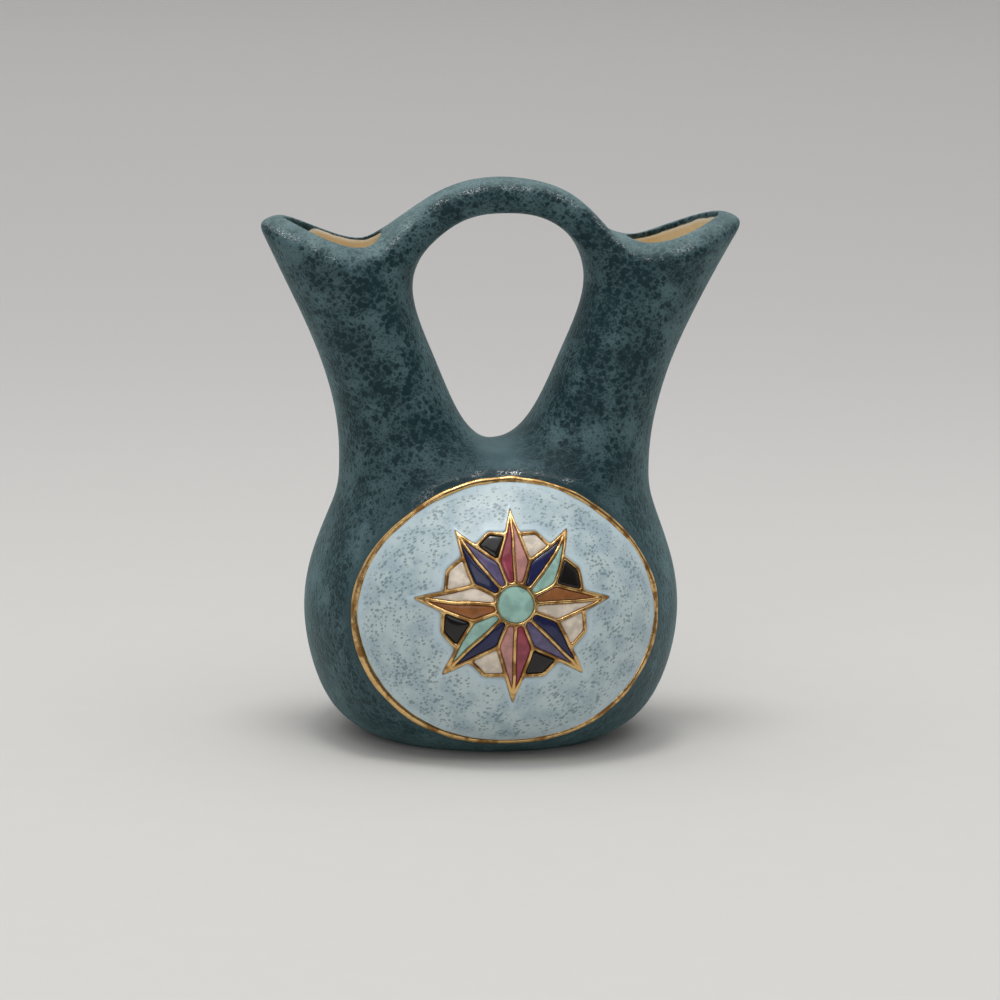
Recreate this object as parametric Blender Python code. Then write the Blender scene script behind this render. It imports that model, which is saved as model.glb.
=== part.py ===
"""Two-spouted wedding vase of glazed earthenware, in metres, +Z up, medallion facing -Y.

The clay is drawn as one smooth form: a coarse cage of rings, smoothed by subdivision so that the
surface passes through every ring. That form is then parted at the luted joints into the pieces that
a potter joins. The medallion is a stack of thin inlays let into the front of the belly.
"""
import math
from collections import namedtuple

import bmesh
import bpy
from mathutils import Vector
from mathutils.bvhtree import BVHTree

# Belly, from the foot up: each ring's rise above the one below, its full width and its full depth
FOOT_WIDTH = 0.063
FOOT_DEPTH = 0.048
HEEL_RISE = 0.010
HEEL_WIDTH = 0.0880
HEEL_DEPTH = 0.0760
BELLY_RISE = 0.024
BELLY_WIDTH = 0.1014
BELLY_DEPTH = 0.0900
SHOULDER_RISE = 0.020
SHOULDER_WIDTH = 0.0938
SHOULDER_DEPTH = 0.0810
COLLAR_RISE = 0.0115
COLLAR_WIDTH = 0.0856
COLLAR_DEPTH = 0.0630
WAIST_RISE = 0.0090
WAIST_WIDTH = 0.0840
WAIST_DEPTH = 0.0430
WAIST_LOBE_DEPTH = 0.0385
CROTCH_RISE = 0.0058

# Spouts: each ring's rise above the one below, its inner side from the middle, its width and its depth
ROOT_RISE = 0.0067
ROOT_INNER = 0.0093
ROOT_WIDTH = 0.0338
ROOT_DEPTH = 0.0335
NECK_RISE = 0.0170
NECK_INNER = 0.0173
NECK_WIDTH = 0.0306
NECK_DEPTH = 0.0310
THROAT_RISE = 0.0200
THROAT_INNER = 0.0231
THROAT_WIDTH = 0.0340
THROAT_DEPTH = 0.0318
THROAT_LOBE_DEPTH = 0.0194

# Mouths: each lip is a leaf, high at the pouring tip, low beside the handle, its top sloping outwards
LIP_INNER = 0.0290
LEFT_LIP_LENGTH = 0.0342
RIGHT_LIP_LENGTH = 0.0354
LEFT_LIP_DEPTH = 0.0295
RIGHT_LIP_DEPTH = 0.0305
LIP_WIDTH = 0.0048
LEFT_LIP_HANDLE_WIDTH = 0.0026
RIGHT_LIP_HANDLE_WIDTH = 0.0056
LIP_SLOPE = 0.0024
LIP_TIP_SLOPE = 0.0014
LIP_ROLL = 0.0050
LIP_SWELL = 0.0011
LIP_LOW_RISE = 0.0103
LIP_SIDE_RISE = 0.0122
LIP_TIP_RISE = 0.0175
RIGHT_LIP_LIFT = 0.0006
LIP_POINT = 1.2
LIP_HANDLE_POINT = 1.0

# Handle: a strap that arches from lip to lip, its rises above the throats
LEFT_SPRING_RISE = 0.0150
RIGHT_SPRING_RISE = 0.0141
SPRING_TO_MOUTH = 0.0024
HANDLE_BEND_RISE = 0.0184
HANDLE_TOP_RISE = 0.0269
HANDLE_THICKNESS = 0.0083
HANDLE_DEPTH = 0.0150
HANDLE_BEND_OUT = 0.0168
HANDLE_LEAN = 0.0012
HANDLE_BEND_TILT = math.radians(35.0)
HANDLE_ROUNDING = 0.66

# Heights above the ground
BELLY_HEIGHT = HEEL_RISE + BELLY_RISE
SHOULDER_HEIGHT = BELLY_HEIGHT + SHOULDER_RISE
COLLAR_HEIGHT = SHOULDER_HEIGHT + COLLAR_RISE
WAIST_HEIGHT = COLLAR_HEIGHT + WAIST_RISE
CROTCH_HEIGHT = WAIST_HEIGHT + CROTCH_RISE
ROOT_HEIGHT = CROTCH_HEIGHT + ROOT_RISE
NECK_HEIGHT = ROOT_HEIGHT + NECK_RISE
THROAT_HEIGHT = NECK_HEIGHT + THROAT_RISE

# Clay walls and luted joints
WALL = 0.0045
FLOOR_WIDTH = 0.0500
FLOOR_DEPTH = 0.0400
BASE_WIDTH = 0.0440
BASE_DEPTH = 0.0340
CROTCH_TO_SEAM = 0.0028
HANDLE_TO_THROAT = 0.0008
JOINT_GAP = 0.0003

# Medallion: laid out in true lengths round the belly, across and up from its centre
MEDALLION_WIDTH = 0.0902
MEDALLION_HEIGHT = 0.0816
MEDALLION_RISE = 0.0080
RECESS_DEPTH = 0.0015
INLAY_BED = 0.0005
GROUND_LIFT = 0.0001
BORDER_WIDTH = 0.0016
BORDER_LIFT = 0.0005
LINE_LIFT = 0.0005
ENAMEL_LIFT = 0.0003

# Star on the medallion
STAR_RAYS = 8
STAR_RISE = 0.0030
STAR_RADIUS = 0.0262
STAR_WAIST_RADIUS = 0.0122
STAR_HEART_RADIUS = 0.0054
STAR_GAP_RADIUS = 0.0208
LINE_WIDTH = 0.0010

# Proportions of the drawing
LIP_SHOULDER_SHARE = 0.68
UNDER_SHARE = 0.6
SADDLE_RISE_SHARE = 0.75
STAR_GAP_SHARE = 0.52

# How finely things are faceted
SMOOTHING_LEVELS = 2
FITTING_ROUNDS = 60
OVAL_POINTS = 64
RECESS_RINGS = 7
GROUND_BANDS = 4
HEART_POINTS = 16
DRAPE_STEP = 0.0075
CUTTER_REACH = 0.30

COLOURS = {
    "teal_glaze": ((0.028, 0.056, 0.065), 0.55, 0.0),
    "sky_glaze": ((0.29, 0.36, 0.37), 0.15, 0.0),
    "gold_lustre": ((0.55, 0.33, 0.11), 0.22, 1.0),
    "black_enamel": ((0.006, 0.005, 0.005), 0.12, 0.0),
    "navy_enamel": ((0.012, 0.014, 0.055), 0.12, 0.0),
    "magenta_enamel": ((0.22, 0.040, 0.060), 0.12, 0.0),
    "pink_enamel": ((0.40, 0.20, 0.17), 0.12, 0.0),
    "cream_enamel": ((0.62, 0.55, 0.46), 0.12, 0.0),
    "lilac_enamel": ((0.085, 0.069, 0.135), 0.12, 0.0),
    "brown_enamel": ((0.22, 0.085, 0.026), 0.12, 0.0),
    "turquoise_enamel": ((0.24, 0.42, 0.37), 0.12, 0.0),
}
RAY_COLOURS = (
    ("magenta_enamel", "pink_enamel"),
    ("navy_enamel", "lilac_enamel"),
    ("brown_enamel", "cream_enamel"),
    ("navy_enamel", "turquoise_enamel"),
)
GAP_COLOURS = ("black_enamel", "cream_enamel")


def clear_scene():
    for item in list(bpy.data.objects):
        bpy.data.objects.remove(item, do_unlink=True)


def glaze(slot):
    """The material of one finish, made once."""
    found = bpy.data.materials.get(slot)
    if found:
        return found
    colour, roughness, metallic = COLOURS[slot]
    material = bpy.data.materials.new(slot)
    material.use_nodes = True
    shader = material.node_tree.nodes["Principled BSDF"]
    shader.inputs["Base Color"].default_value = (*colour, 1.0)
    shader.inputs["Roughness"].default_value = roughness
    shader.inputs["Metallic"].default_value = metallic
    return material


def place(name, shape, parent=None, slot=None):
    """Put a bmesh into the scene as a named object."""
    mesh = bpy.data.meshes.new(name)
    shape.to_mesh(mesh)
    shape.free()
    mesh.shade_smooth()
    item = bpy.data.objects.new(name, mesh)
    bpy.context.scene.collection.objects.link(item)
    item.parent = parent
    if slot:
        mesh.materials.append(glaze(slot))
    return item


def guide(item):
    """Hide a cutter or a guide form from the finished part."""
    item.hide_render = True
    item.display_type = "WIRE"
    return item


def box_cutter(name, low, high):
    shape = bmesh.new()
    bmesh.ops.create_cube(shape, size=1.0)
    middle = (Vector(low) + Vector(high)) / 2
    size = Vector(high) - Vector(low)
    for vert in shape.verts:
        vert.co = Vector(a * b for a, b in zip(vert.co, size)) + middle
    return guide(place(name, shape))


def oval_cutter(name, width, depth, low, high):
    shape = bmesh.new()
    bmesh.ops.create_cone(
        shape, cap_ends=True, segments=OVAL_POINTS, radius1=0.5, radius2=0.5, depth=high - low
    )
    for vert in shape.verts:
        vert.co = Vector((vert.co.x * width, vert.co.y * depth, vert.co.z + (low + high) / 2))
    return guide(place(name, shape))


def cut(item, operation, cutter):
    step = item.modifiers.new(cutter.name, "BOOLEAN")
    step.operation = operation
    step.object = cutter
    step.solver = "EXACT"


# Rings of eight points: front, front right, right, back right, back, back left, left, front left
RING = [math.radians(45.0 * step - 90.0) for step in range(8)]
HANDLE_FACES = (5, 6)


def belly_ring(height, width, depth):
    return [Vector((math.cos(a) * width / 2, math.sin(a) * depth / 2, height)) for a in RING]


def spout_ring(height, inner, width, depth):
    middle = inner + width / 2
    return [Vector((middle + math.cos(a) * width / 2, math.sin(a) * depth / 2, height)) for a in RING]


def toward(power, value):
    return math.copysign(abs(value) ** power, value)


Lip = namedtuple("Lip", "length depth handle_width lift spring_rise")
LEFT_LIP = Lip(LEFT_LIP_LENGTH, LEFT_LIP_DEPTH, LEFT_LIP_HANDLE_WIDTH, -RIGHT_LIP_LIFT, LEFT_SPRING_RISE)
RIGHT_LIP = Lip(RIGHT_LIP_LENGTH, RIGHT_LIP_DEPTH, RIGHT_LIP_HANDLE_WIDTH, RIGHT_LIP_LIFT, RIGHT_SPRING_RISE)


def lip_ring(lip, inset, handle_inset, heights):
    """The mouth's edge, drawn in by an inset of its own beside the handle, with a height for each point."""
    middle = LIP_INNER + lip.length / 2
    ring = []
    for angle, height in zip(RING, heights):
        on_tip_side = math.cos(angle) > 0
        power = LIP_POINT if on_tip_side else LIP_HANDLE_POINT
        reach = lip.length / 2 - (inset if on_tip_side else handle_inset)
        x = middle + toward(power, math.cos(angle)) * reach
        y = toward(power, math.sin(angle)) * (lip.depth / 2 - inset)
        ring.append(Vector((x, y, height)))
    return ring


def lip_rings(lip):
    """The outer edge and the crest of one lip."""
    base = THROAT_HEIGHT + lip.lift
    tip = base + LIP_TIP_RISE
    side = base + LIP_SIDE_RISE
    low = base + LIP_LOW_RISE
    spring = THROAT_HEIGHT + lip.spring_rise
    shoulder = side + (tip - side) * LIP_SHOULDER_SHARE
    crest = [side, shoulder, tip, shoulder, side, low, spring - SPRING_TO_MOUTH, low]
    edge = [height - LIP_SLOPE for height in crest]
    edge[2] = tip - LIP_TIP_SLOPE
    edge[5] = low - LIP_SLOPE / 2
    edge[6] = spring
    edge[7] = low - LIP_SLOPE / 2
    return lip_ring(lip, 0.0, 0.0, edge), lip_ring(lip, LIP_WIDTH, lip.handle_width, crest)


def roll_ring(throat, edge):
    """A ring just under the lip's edge, swelled out so that the wall runs up to it without a hollow."""
    middle = sum(edge, Vector()) / len(edge)
    ring = []
    for low, high in zip(throat, edge):
        out = Vector((high.x - middle.x, high.y - middle.y, 0)).normalized()
        ring.append(high + (low - high).normalized() * LIP_ROLL + out * LIP_SWELL)
    return ring


def handle_section(out, height, tilt):
    """Eight points round the strap, from the front of its top round by its back."""
    normal = Vector((math.sin(tilt), 0, math.cos(tilt)))
    middle = Vector((out, 0, height))
    side = HANDLE_DEPTH / 2
    edge = side * HANDLE_ROUNDING
    half = HANDLE_THICKNESS / 2
    layout = [(1, -edge), (1, 0), (1, edge), (0, side), (-1, edge), (-1, 0), (-1, -edge), (0, -side)]
    return [middle + normal * half * up + Vector((0, y, 0)) for up, y in layout]


def mirrored(points):
    return [Vector((-p.x, p.y, p.z)) for p in points]


class Cage:
    """A closed cage of rings, whose vertices remember the point the smooth surface must reach."""

    def __init__(self):
        self.shape = bmesh.new()
        self.targets = []

    def ring(self, points):
        self.targets += points
        return [self.shape.verts.new(p) for p in points]

    def band(self, low, high, leave_out=()):
        """Join two rings of equal count with quads, apart from the listed ones."""
        count = len(low)
        for k in range(count):
            after = (k + 1) % count
            if k not in leave_out:
                self.shape.faces.new((low[k], low[after], high[after], high[k]))

    def close(self, ring):
        self.shape.faces.new(ring)


def limit_point(vert):
    """Where Catmull-Clark smoothing carries a vertex of a closed cage."""
    count = len(vert.link_edges)
    centres = {face: face.calc_center_median() for face in vert.link_faces}
    face_sum = sum(centres.values(), Vector())
    middle_sum = Vector()
    edge_sum = Vector()
    for edge in vert.link_edges:
        ends = edge.verts[0].co + edge.verts[1].co
        middle_sum += ends / 2
        edge_sum += (ends + sum((centres[face] for face in edge.link_faces), Vector())) / 4
    moved = (face_sum / count + 2 * middle_sum / count + (count - 3) * vert.co) / count
    return (count * count * moved + 4 * edge_sum + face_sum) / (count * (count + 5))


def fit(cage):
    """Swell the cage until its smooth surface passes through every target."""
    verts = list(cage.shape.verts)
    for _ in range(FITTING_ROUNDS):
        moves = [target - limit_point(vert) for vert, target in zip(verts, cage.targets)]
        for vert, move in zip(verts, moves):
            vert.co += move


def inward(rings, bands):
    """Each ring's points moved into the clay by the wall, square to the outer surface."""
    shape = bmesh.new()
    made = {name: [shape.verts.new(p) for p in points] for name, points in rings.items()}
    for low, high in bands:
        count = len(made[low])
        for k in range(count):
            after = (k + 1) % count
            shape.faces.new((made[low][k], made[low][after], made[high][after], made[high][k]))
    shape.normal_update()
    moved = {name: [v.co - v.normal * WALL for v in verts] for name, verts in made.items()}
    shape.free()
    return moved


def belly_rings():
    """The outer surface's rings from the foot to the waist."""
    waist = belly_ring(WAIST_HEIGHT, WAIST_WIDTH, WAIST_DEPTH)
    for k in (1, 3, 5, 7):
        waist[k].y = math.copysign(WAIST_LOBE_DEPTH / 2, waist[k].y)
    return {
        "foot": belly_ring(0.0, FOOT_WIDTH, FOOT_DEPTH),
        "heel": belly_ring(HEEL_RISE, HEEL_WIDTH, HEEL_DEPTH),
        "belly": belly_ring(BELLY_HEIGHT, BELLY_WIDTH, BELLY_DEPTH),
        "shoulder": belly_ring(SHOULDER_HEIGHT, SHOULDER_WIDTH, SHOULDER_DEPTH),
        "collar": belly_ring(COLLAR_HEIGHT, COLLAR_WIDTH, COLLAR_DEPTH),
        "waist": waist,
    }


def spout_rings(lip):
    """The outer surface's rings from a spout's root to its lip, and the lip's crest, on the right."""
    rings = {
        "root": spout_ring(ROOT_HEIGHT, ROOT_INNER, ROOT_WIDTH, ROOT_DEPTH),
        "neck": spout_ring(NECK_HEIGHT, NECK_INNER, NECK_WIDTH, NECK_DEPTH),
        "throat": spout_ring(THROAT_HEIGHT, THROAT_INNER, THROAT_WIDTH, THROAT_DEPTH),
    }
    for k in (5, 7):
        rings["throat"][k].y = math.copysign(THROAT_LOBE_DEPTH / 2, rings["throat"][k].y)
    edge, crest = lip_rings(lip)
    rings["roll"] = roll_ring(rings["throat"], edge)
    rings["lip"] = edge
    return rings, crest


def saddle_points():
    """Back, crotch and front of the saddle between the spouts."""
    half = WAIST_DEPTH / 4
    height = WAIST_HEIGHT + CROTCH_RISE * SADDLE_RISE_SHARE
    return [Vector((0, half, height)), Vector((0, 0, CROTCH_HEIGHT)), Vector((0, -half, height))]


def add_spout(cage, on_left, waist, waist_points, inner_waist):
    """One spout's outside, lip and inside; returns the loop that the handle grows from."""
    turn = mirrored if on_left else list
    rings, crest = spout_rings(LEFT_LIP if on_left else RIGHT_LIP)
    names = list(rings)
    inside = inward({"waist": waist_points, **rings}, list(zip(["waist"] + names, names)))
    inside["lip"] = crest

    made = {}
    low = waist
    for name in names:
        made[name] = cage.ring(turn(rings[name]))
        cage.band(low, made[name], HANDLE_FACES if name in ("roll", "lip") else ())
        low = made[name]
    for name in reversed(names):
        high = cage.ring(turn(inside[name]))
        cage.band(low, high)
        low = high
    cage.band(low, inner_waist)
    throat, roll, lip = made["throat"], made["roll"], made["lip"]
    return [lip[7], lip[6], lip[5], roll[5], throat[5], throat[6], throat[7], roll[7]]


def vessel_cage():
    """The whole clay form: belly, two spouts and handle, hollow inside and open at both lips."""
    belly = belly_rings()
    names = list(belly)
    belly_in = inward(belly, list(zip(names, names[1:])))
    saddle = saddle_points()

    cage = Cage()
    under = cage.ring(belly_ring(-HEEL_RISE / 2, FOOT_WIDTH * UNDER_SHARE, FOOT_DEPTH * UNDER_SHARE))
    cage.close(under[::-1])
    outside = {name: cage.ring(points) for name, points in belly.items()}
    cage.band(under, outside["foot"])
    for low, high in zip(names, names[1:]):
        cage.band(outside[low], outside[high])
    ridge = cage.ring(saddle)

    floor = cage.ring(belly_ring(WALL, FLOOR_WIDTH, FLOOR_DEPTH))
    cage.close(floor)
    inside = {name: cage.ring(belly_in[name]) for name in names[1:]}
    cage.band(inside["heel"], floor)
    for low, high in zip(names[1:], names[2:]):
        cage.band(inside[high], inside[low])
    inner_ridge = cage.ring([p - Vector((0, 0, WALL)) for p in saddle])

    handle_ends = []
    for on_left in (False, True):
        half = [0, 7, 6, 5, 4] if on_left else [0, 1, 2, 3, 4]
        waist = [outside["waist"][k] for k in half] + ridge
        inner_waist = [inside["waist"][k] for k in half] + inner_ridge
        handle_ends.append(add_spout(cage, on_left, waist, belly["waist"][0:5] + saddle, inner_waist))

    bend = handle_section(HANDLE_BEND_OUT, THROAT_HEIGHT + HANDLE_BEND_RISE, HANDLE_BEND_TILT)
    apex = handle_section(0.0, THROAT_HEIGHT + HANDLE_TOP_RISE - HANDLE_THICKNESS / 2, 0.0)
    lean = Vector((HANDLE_LEAN, 0, 0))
    sections = [[p + lean for p in points] for points in (bend, apex, mirrored(bend))]
    strap = [handle_ends[0], *[cage.ring(points) for points in sections], handle_ends[1]]
    for near, far in zip(strap, strap[1:]):
        cage.band(near, far)
    drop_unused(cage)
    fit(cage)
    bmesh.ops.recalc_face_normals(cage.shape, faces=cage.shape.faces)
    return cage.shape


def drop_unused(cage):
    """Forget ring points that the handle's root covers."""
    kept = []
    for vert, target in zip(list(cage.shape.verts), cage.targets):
        if vert.link_faces:
            kept.append(target)
        else:
            cage.shape.verts.remove(vert)
    cage.targets = kept


def smooth(item):
    step = item.modifiers.new("Smoothing", "SUBSURF")
    step.levels = SMOOTHING_LEVELS
    step.render_levels = SMOOTHING_LEVELS


def clay_piece(name, form, parent, cuts):
    """One clay piece: the whole form, smoothed, then parted by its cutters."""
    item = bpy.data.objects.new(name, form.data)
    bpy.context.scene.collection.objects.link(item)
    item.parent = parent
    smooth(item)
    for operation, cutter in cuts:
        cut(item, operation, cutter)
    return item


class BellyFront:
    """Carries points laid out flat, across and up, on to the outside of the belly."""

    def __init__(self, form):
        bpy.context.view_layer.update()
        self.tree = BVHTree.FromObject(form, bpy.context.evaluated_depsgraph_get())
        self.middle = Vector((0, 0, BELLY_HEIGHT))
        self.radius = BELLY_DEPTH / 2

    def point(self, across, up, lift):
        turn = across / self.radius
        climb = (up + MEDALLION_RISE) / self.radius
        out = Vector((math.sin(turn) * math.cos(climb), -math.cos(turn) * math.cos(climb), math.sin(climb)))
        hit = self.tree.ray_cast(self.middle + out * CUTTER_REACH, -out)[0]
        return hit + out * lift


def oval(inset, share=1.0):
    points = []
    for step in range(OVAL_POINTS):
        angle = math.pi / 2 + 2 * math.pi * step / OVAL_POINTS
        across = math.cos(angle) * (MEDALLION_WIDTH / 2 - inset) * share
        up = math.sin(angle) * (MEDALLION_HEIGHT / 2 - inset) * share
        points.append(Vector((across, up)))
    return points


def inset_outline(points, distance):
    """An anticlockwise outline with each edge moved inwards, its corners kept mitred."""
    moved = []
    count = len(points)
    for k in range(count):
        before, here, after = points[k - 1], points[k], points[(k + 1) % count]
        first = (here - before).normalized()
        second = (after - here).normalized()
        first_in = Vector((-first.y, first.x))
        second_in = Vector((-second.y, second.x))
        share = distance / (1 + first_in.dot(second_in))
        moved.append(here + (first_in + second_in) * share)
    return moved


def spread(points, count):
    """An outline with its edges split evenly until it has the count of points."""
    pieces = count // len(points)
    finer = []
    for k, here in enumerate(points):
        after = points[(k + 1) % len(points)]
        finer += [here.lerp(after, step / pieces) for step in range(pieces)]
    return finer


def filled_sheet(loops):
    """A flat mesh that fills the first loop less the others, with long edges split so that it can bend."""
    sheet = bmesh.new()
    edges = []
    for loop in loops:
        verts = [sheet.verts.new((p.x, p.y, 0)) for p in loop]
        edges += [sheet.edges.new((verts[k - 1], verts[k])) for k in range(len(verts))]
    bmesh.ops.triangle_fill(sheet, use_beauty=True, edges=edges, normal=(0, 0, 1))
    long_edges = [edge for edge in sheet.edges if edge.calc_length() > DRAPE_STEP]
    bmesh.ops.subdivide_edges(sheet, edges=long_edges, cuts=1)
    bmesh.ops.triangulate(sheet, faces=sheet.faces)
    return sheet


def ringed_sheet(rings, closed=False):
    """A flat mesh of bands between rings, from the outside in, with the last one filled if closed."""
    sheet = bmesh.new()
    made = [[sheet.verts.new((p.x, p.y, 0)) for p in ring] for ring in rings]
    for outer, inner in zip(made, made[1:]):
        for k in range(len(outer)):
            sheet.faces.new((outer[k - 1], outer[k], inner[k], inner[k - 1]))
    if closed:
        sheet.faces.new(made[-1])
    return sheet


def inlay_shape(front, sheet, low, high):
    """A flat sheet made a plate that follows the belly, between two distances from its surface."""
    shape = bmesh.new()
    top = {v: shape.verts.new(front.point(v.co.x, v.co.y, high)) for v in sheet.verts}
    bottom = {v: shape.verts.new(front.point(v.co.x, v.co.y, low)) for v in sheet.verts}
    for face in sheet.faces:
        shape.faces.new([top[v] for v in face.verts])
        shape.faces.new([bottom[v] for v in reversed(face.verts)])
    for edge in sheet.edges:
        if edge.is_boundary:
            a, b = edge.verts
            shape.faces.new((top[a], top[b], bottom[b], bottom[a]))
    sheet.free()
    bmesh.ops.recalc_face_normals(shape, faces=shape.faces)
    return shape


def polar(radius, angle):
    return Vector((math.cos(angle), math.sin(angle))) * radius


def star_point(radius, angle):
    """A point of the star, which sits a little above the medallion's centre."""
    return polar(radius, angle) + Vector((0, STAR_RISE))


def star_ray(ray):
    """Direction and tip of a ray, and the outline of the cell between it and the next ray."""
    pitch = 2 * math.pi / STAR_RAYS
    axis = math.pi / 2 + ray * pitch
    tip = star_point(STAR_RADIUS, axis)
    waist = star_point(STAR_WAIST_RADIUS, axis + pitch / 2)
    next_tip = star_point(STAR_RADIUS, axis + pitch)
    gap = [
        waist,
        waist.lerp(tip, STAR_GAP_SHARE),
        star_point(STAR_GAP_RADIUS, axis + pitch / 2),
        waist.lerp(next_tip, STAR_GAP_SHARE),
    ]
    return axis, tip, gap


def star_cells():
    """The star's cells as anticlockwise outlines: name, finish and outline before the lines."""
    cells = []
    half_pitch = math.pi / STAR_RAYS
    for ray in range(STAR_RAYS):
        axis, tip, gap = star_ray(ray)
        heart = star_point(STAR_HEART_RADIUS, axis)
        finishes = RAY_COLOURS[ray % len(RAY_COLOURS)]
        for side, turn, finish in (("left", half_pitch, finishes[0]), ("right", -half_pitch, finishes[1])):
            waist = star_point(STAR_WAIST_RADIUS, axis + turn)
            heart_beside = star_point(STAR_HEART_RADIUS, axis + turn)
            outline = [heart, tip, waist, heart_beside]
            cells.append((f"ray_{ray + 1}_{side}", finish, outline if turn > 0 else outline[::-1]))
        cells.append((f"ray_gap_{ray + 1}", GAP_COLOURS[ray % len(GAP_COLOURS)], gap))
    return cells


def star_edge():
    """The star's own edge, through the ray tips and round the cells between them."""
    points = []
    for ray in range(STAR_RAYS):
        tip, gap = star_ray(ray)[1:]
        points.append(tip)
        points += gap[1:]
    return points


def heart_outline(radius):
    return [star_point(radius, 2 * math.pi * k / HEART_POINTS) for k in range(HEART_POINTS)]


def build_clay(vase):
    """The five clay pieces, parted from one form."""
    form = guide(place("vessel_form", vessel_cage(), slot="teal_glaze"))
    smooth(form)
    half_gap = JOINT_GAP / 2
    seam = CROTCH_HEIGHT + CROTCH_TO_SEAM
    lute = THROAT_INNER - HANDLE_TO_THROAT
    wide = CUTTER_REACH
    above = box_cutter("above_seam", (-wide, -wide, seam - half_gap), (wide, wide, wide))
    ground = box_cutter("below_foot", (-wide, -wide, -wide), (wide, wide, 0.0))
    right = box_cutter("right_of_crotch", (0.0, -wide, seam + half_gap), (wide, wide, wide))
    left = box_cutter("left_of_crotch", (-wide, -wide, seam + half_gap), (0.0, wide, wide))
    strap = box_cutter(
        "handle_zone", (-lute + half_gap, -wide, THROAT_HEIGHT), (lute - half_gap, wide, wide)
    )
    strap_room = box_cutter(
        "handle_room", (-lute - half_gap, -wide, THROAT_HEIGHT), (lute + half_gap, wide, wide)
    )
    base = oval_cutter("base_zone", BASE_WIDTH, BASE_DEPTH, 0.0, HEEL_RISE * 2)
    base_room = oval_cutter(
        "base_room", BASE_WIDTH + 2 * JOINT_GAP, BASE_DEPTH + 2 * JOINT_GAP, -HEEL_RISE, HEEL_RISE * 2
    )
    belly = clay_piece(
        "belly", form, vase, [("DIFFERENCE", above), ("DIFFERENCE", ground), ("DIFFERENCE", base_room)]
    )
    clay_piece("base_slab", form, vase, [("INTERSECT", base)])
    clay_piece("right_spout", form, vase, [("INTERSECT", right), ("DIFFERENCE", strap_room)])
    clay_piece("left_spout", form, vase, [("INTERSECT", left), ("DIFFERENCE", strap_room)])
    clay_piece("handle", form, vase, [("INTERSECT", strap)])
    return form, belly


def build_medallion(vase, form, belly):
    """The recess in the belly and the inlays that fill it."""
    front = BellyFront(form)
    seat = INLAY_BED - RECESS_DEPTH
    shares = [1 - step / RECESS_RINGS for step in range(RECESS_RINGS)]
    pit = ringed_sheet([oval(-JOINT_GAP, share) for share in shares], closed=True)
    recess = place("recess", inlay_shape(front, pit, -RECESS_DEPTH, RECESS_DEPTH * 2))
    cut(belly, "DIFFERENCE", guide(recess))

    border = ringed_sheet([oval(0.0), oval(BORDER_WIDTH)])
    place("gold_border", inlay_shape(front, border, seat, BORDER_LIFT), vase, "gold_lustre")

    half_line = LINE_WIDTH / 2
    edge = star_edge()
    pocket = spread(inset_outline(edge, -half_line - JOINT_GAP), OVAL_POINTS)
    rim = oval(BORDER_WIDTH + JOINT_GAP)
    shares = [step / GROUND_BANDS for step in range(GROUND_BANDS + 1)]
    ground = ringed_sheet([[a.lerp(b, share) for a, b in zip(rim, pocket)] for share in shares])
    place("medallion_ground", inlay_shape(front, ground, seat, GROUND_LIFT), vase, "sky_glaze")

    holes = []
    for name, finish, outline in star_cells():
        holes.append(inset_outline(outline, half_line))
        cell = filled_sheet([inset_outline(outline, half_line + JOINT_GAP)])
        place(name, inlay_shape(front, cell, seat, ENAMEL_LIFT), vase, finish)
    holes.append(heart_outline(STAR_HEART_RADIUS - half_line))
    heart = filled_sheet([heart_outline(STAR_HEART_RADIUS - half_line - JOINT_GAP)])
    place("star_heart", inlay_shape(front, heart, seat, ENAMEL_LIFT), vase, "turquoise_enamel")
    lines = filled_sheet([inset_outline(edge, -half_line)] + holes)
    place("star_lines", inlay_shape(front, lines, seat, LINE_LIFT), vase, "gold_lustre")


def main():
    clear_scene()
    vase = bpy.data.objects.new("wedding_vase", None)
    bpy.context.scene.collection.objects.link(vase)
    form, belly = build_clay(vase)
    build_medallion(vase, form, belly)


main()
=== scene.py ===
"""Looks of the wedding vase: sponged teal glaze, tan mouths, gold lines and glossy enamels.

The clay is the same smooth form as the solids, drawn finer, with the slight unevenness of hand work.
It is parted where the potter joined it, and the glaze runs over the joints without a break.
"""
from collections import namedtuple
from functools import partialmethod
from math import asin, atan2, ceil, copysign, cos, exp, hypot, pi, radians, sin, sqrt

import bmesh
import bpy
from mathutils import Matrix, Vector, noise
from mathutils.bvhtree import BVHTree
from mathutils.kdtree import KDTree


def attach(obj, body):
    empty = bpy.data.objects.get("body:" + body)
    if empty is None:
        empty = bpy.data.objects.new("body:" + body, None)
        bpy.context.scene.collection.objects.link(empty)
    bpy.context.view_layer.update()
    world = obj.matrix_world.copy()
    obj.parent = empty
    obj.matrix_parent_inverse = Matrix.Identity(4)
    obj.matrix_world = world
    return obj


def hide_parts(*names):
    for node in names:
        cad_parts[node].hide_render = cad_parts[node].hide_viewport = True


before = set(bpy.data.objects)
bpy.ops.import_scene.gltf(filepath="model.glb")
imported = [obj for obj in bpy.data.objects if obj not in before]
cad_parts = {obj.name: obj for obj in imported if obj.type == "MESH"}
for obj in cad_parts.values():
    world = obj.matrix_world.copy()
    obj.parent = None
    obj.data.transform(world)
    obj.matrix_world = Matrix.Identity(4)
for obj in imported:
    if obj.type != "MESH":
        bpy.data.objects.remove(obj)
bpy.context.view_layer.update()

# Rings round the clay: height above the ground, full width and full depth, and for the spouts how far
# the inner side lies from the middle. What lies under the ground is cut away in the end
Ring = namedtuple("Ring", "height width depth inner", defaults=(None,))
UNDER = Ring(-0.005, 0.0378, 0.0288)
FOOT = Ring(0.0, 0.063, 0.048)
HEEL = Ring(0.01, 0.088, 0.076)
BELLY = Ring(0.034, 0.1014, 0.09)
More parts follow.
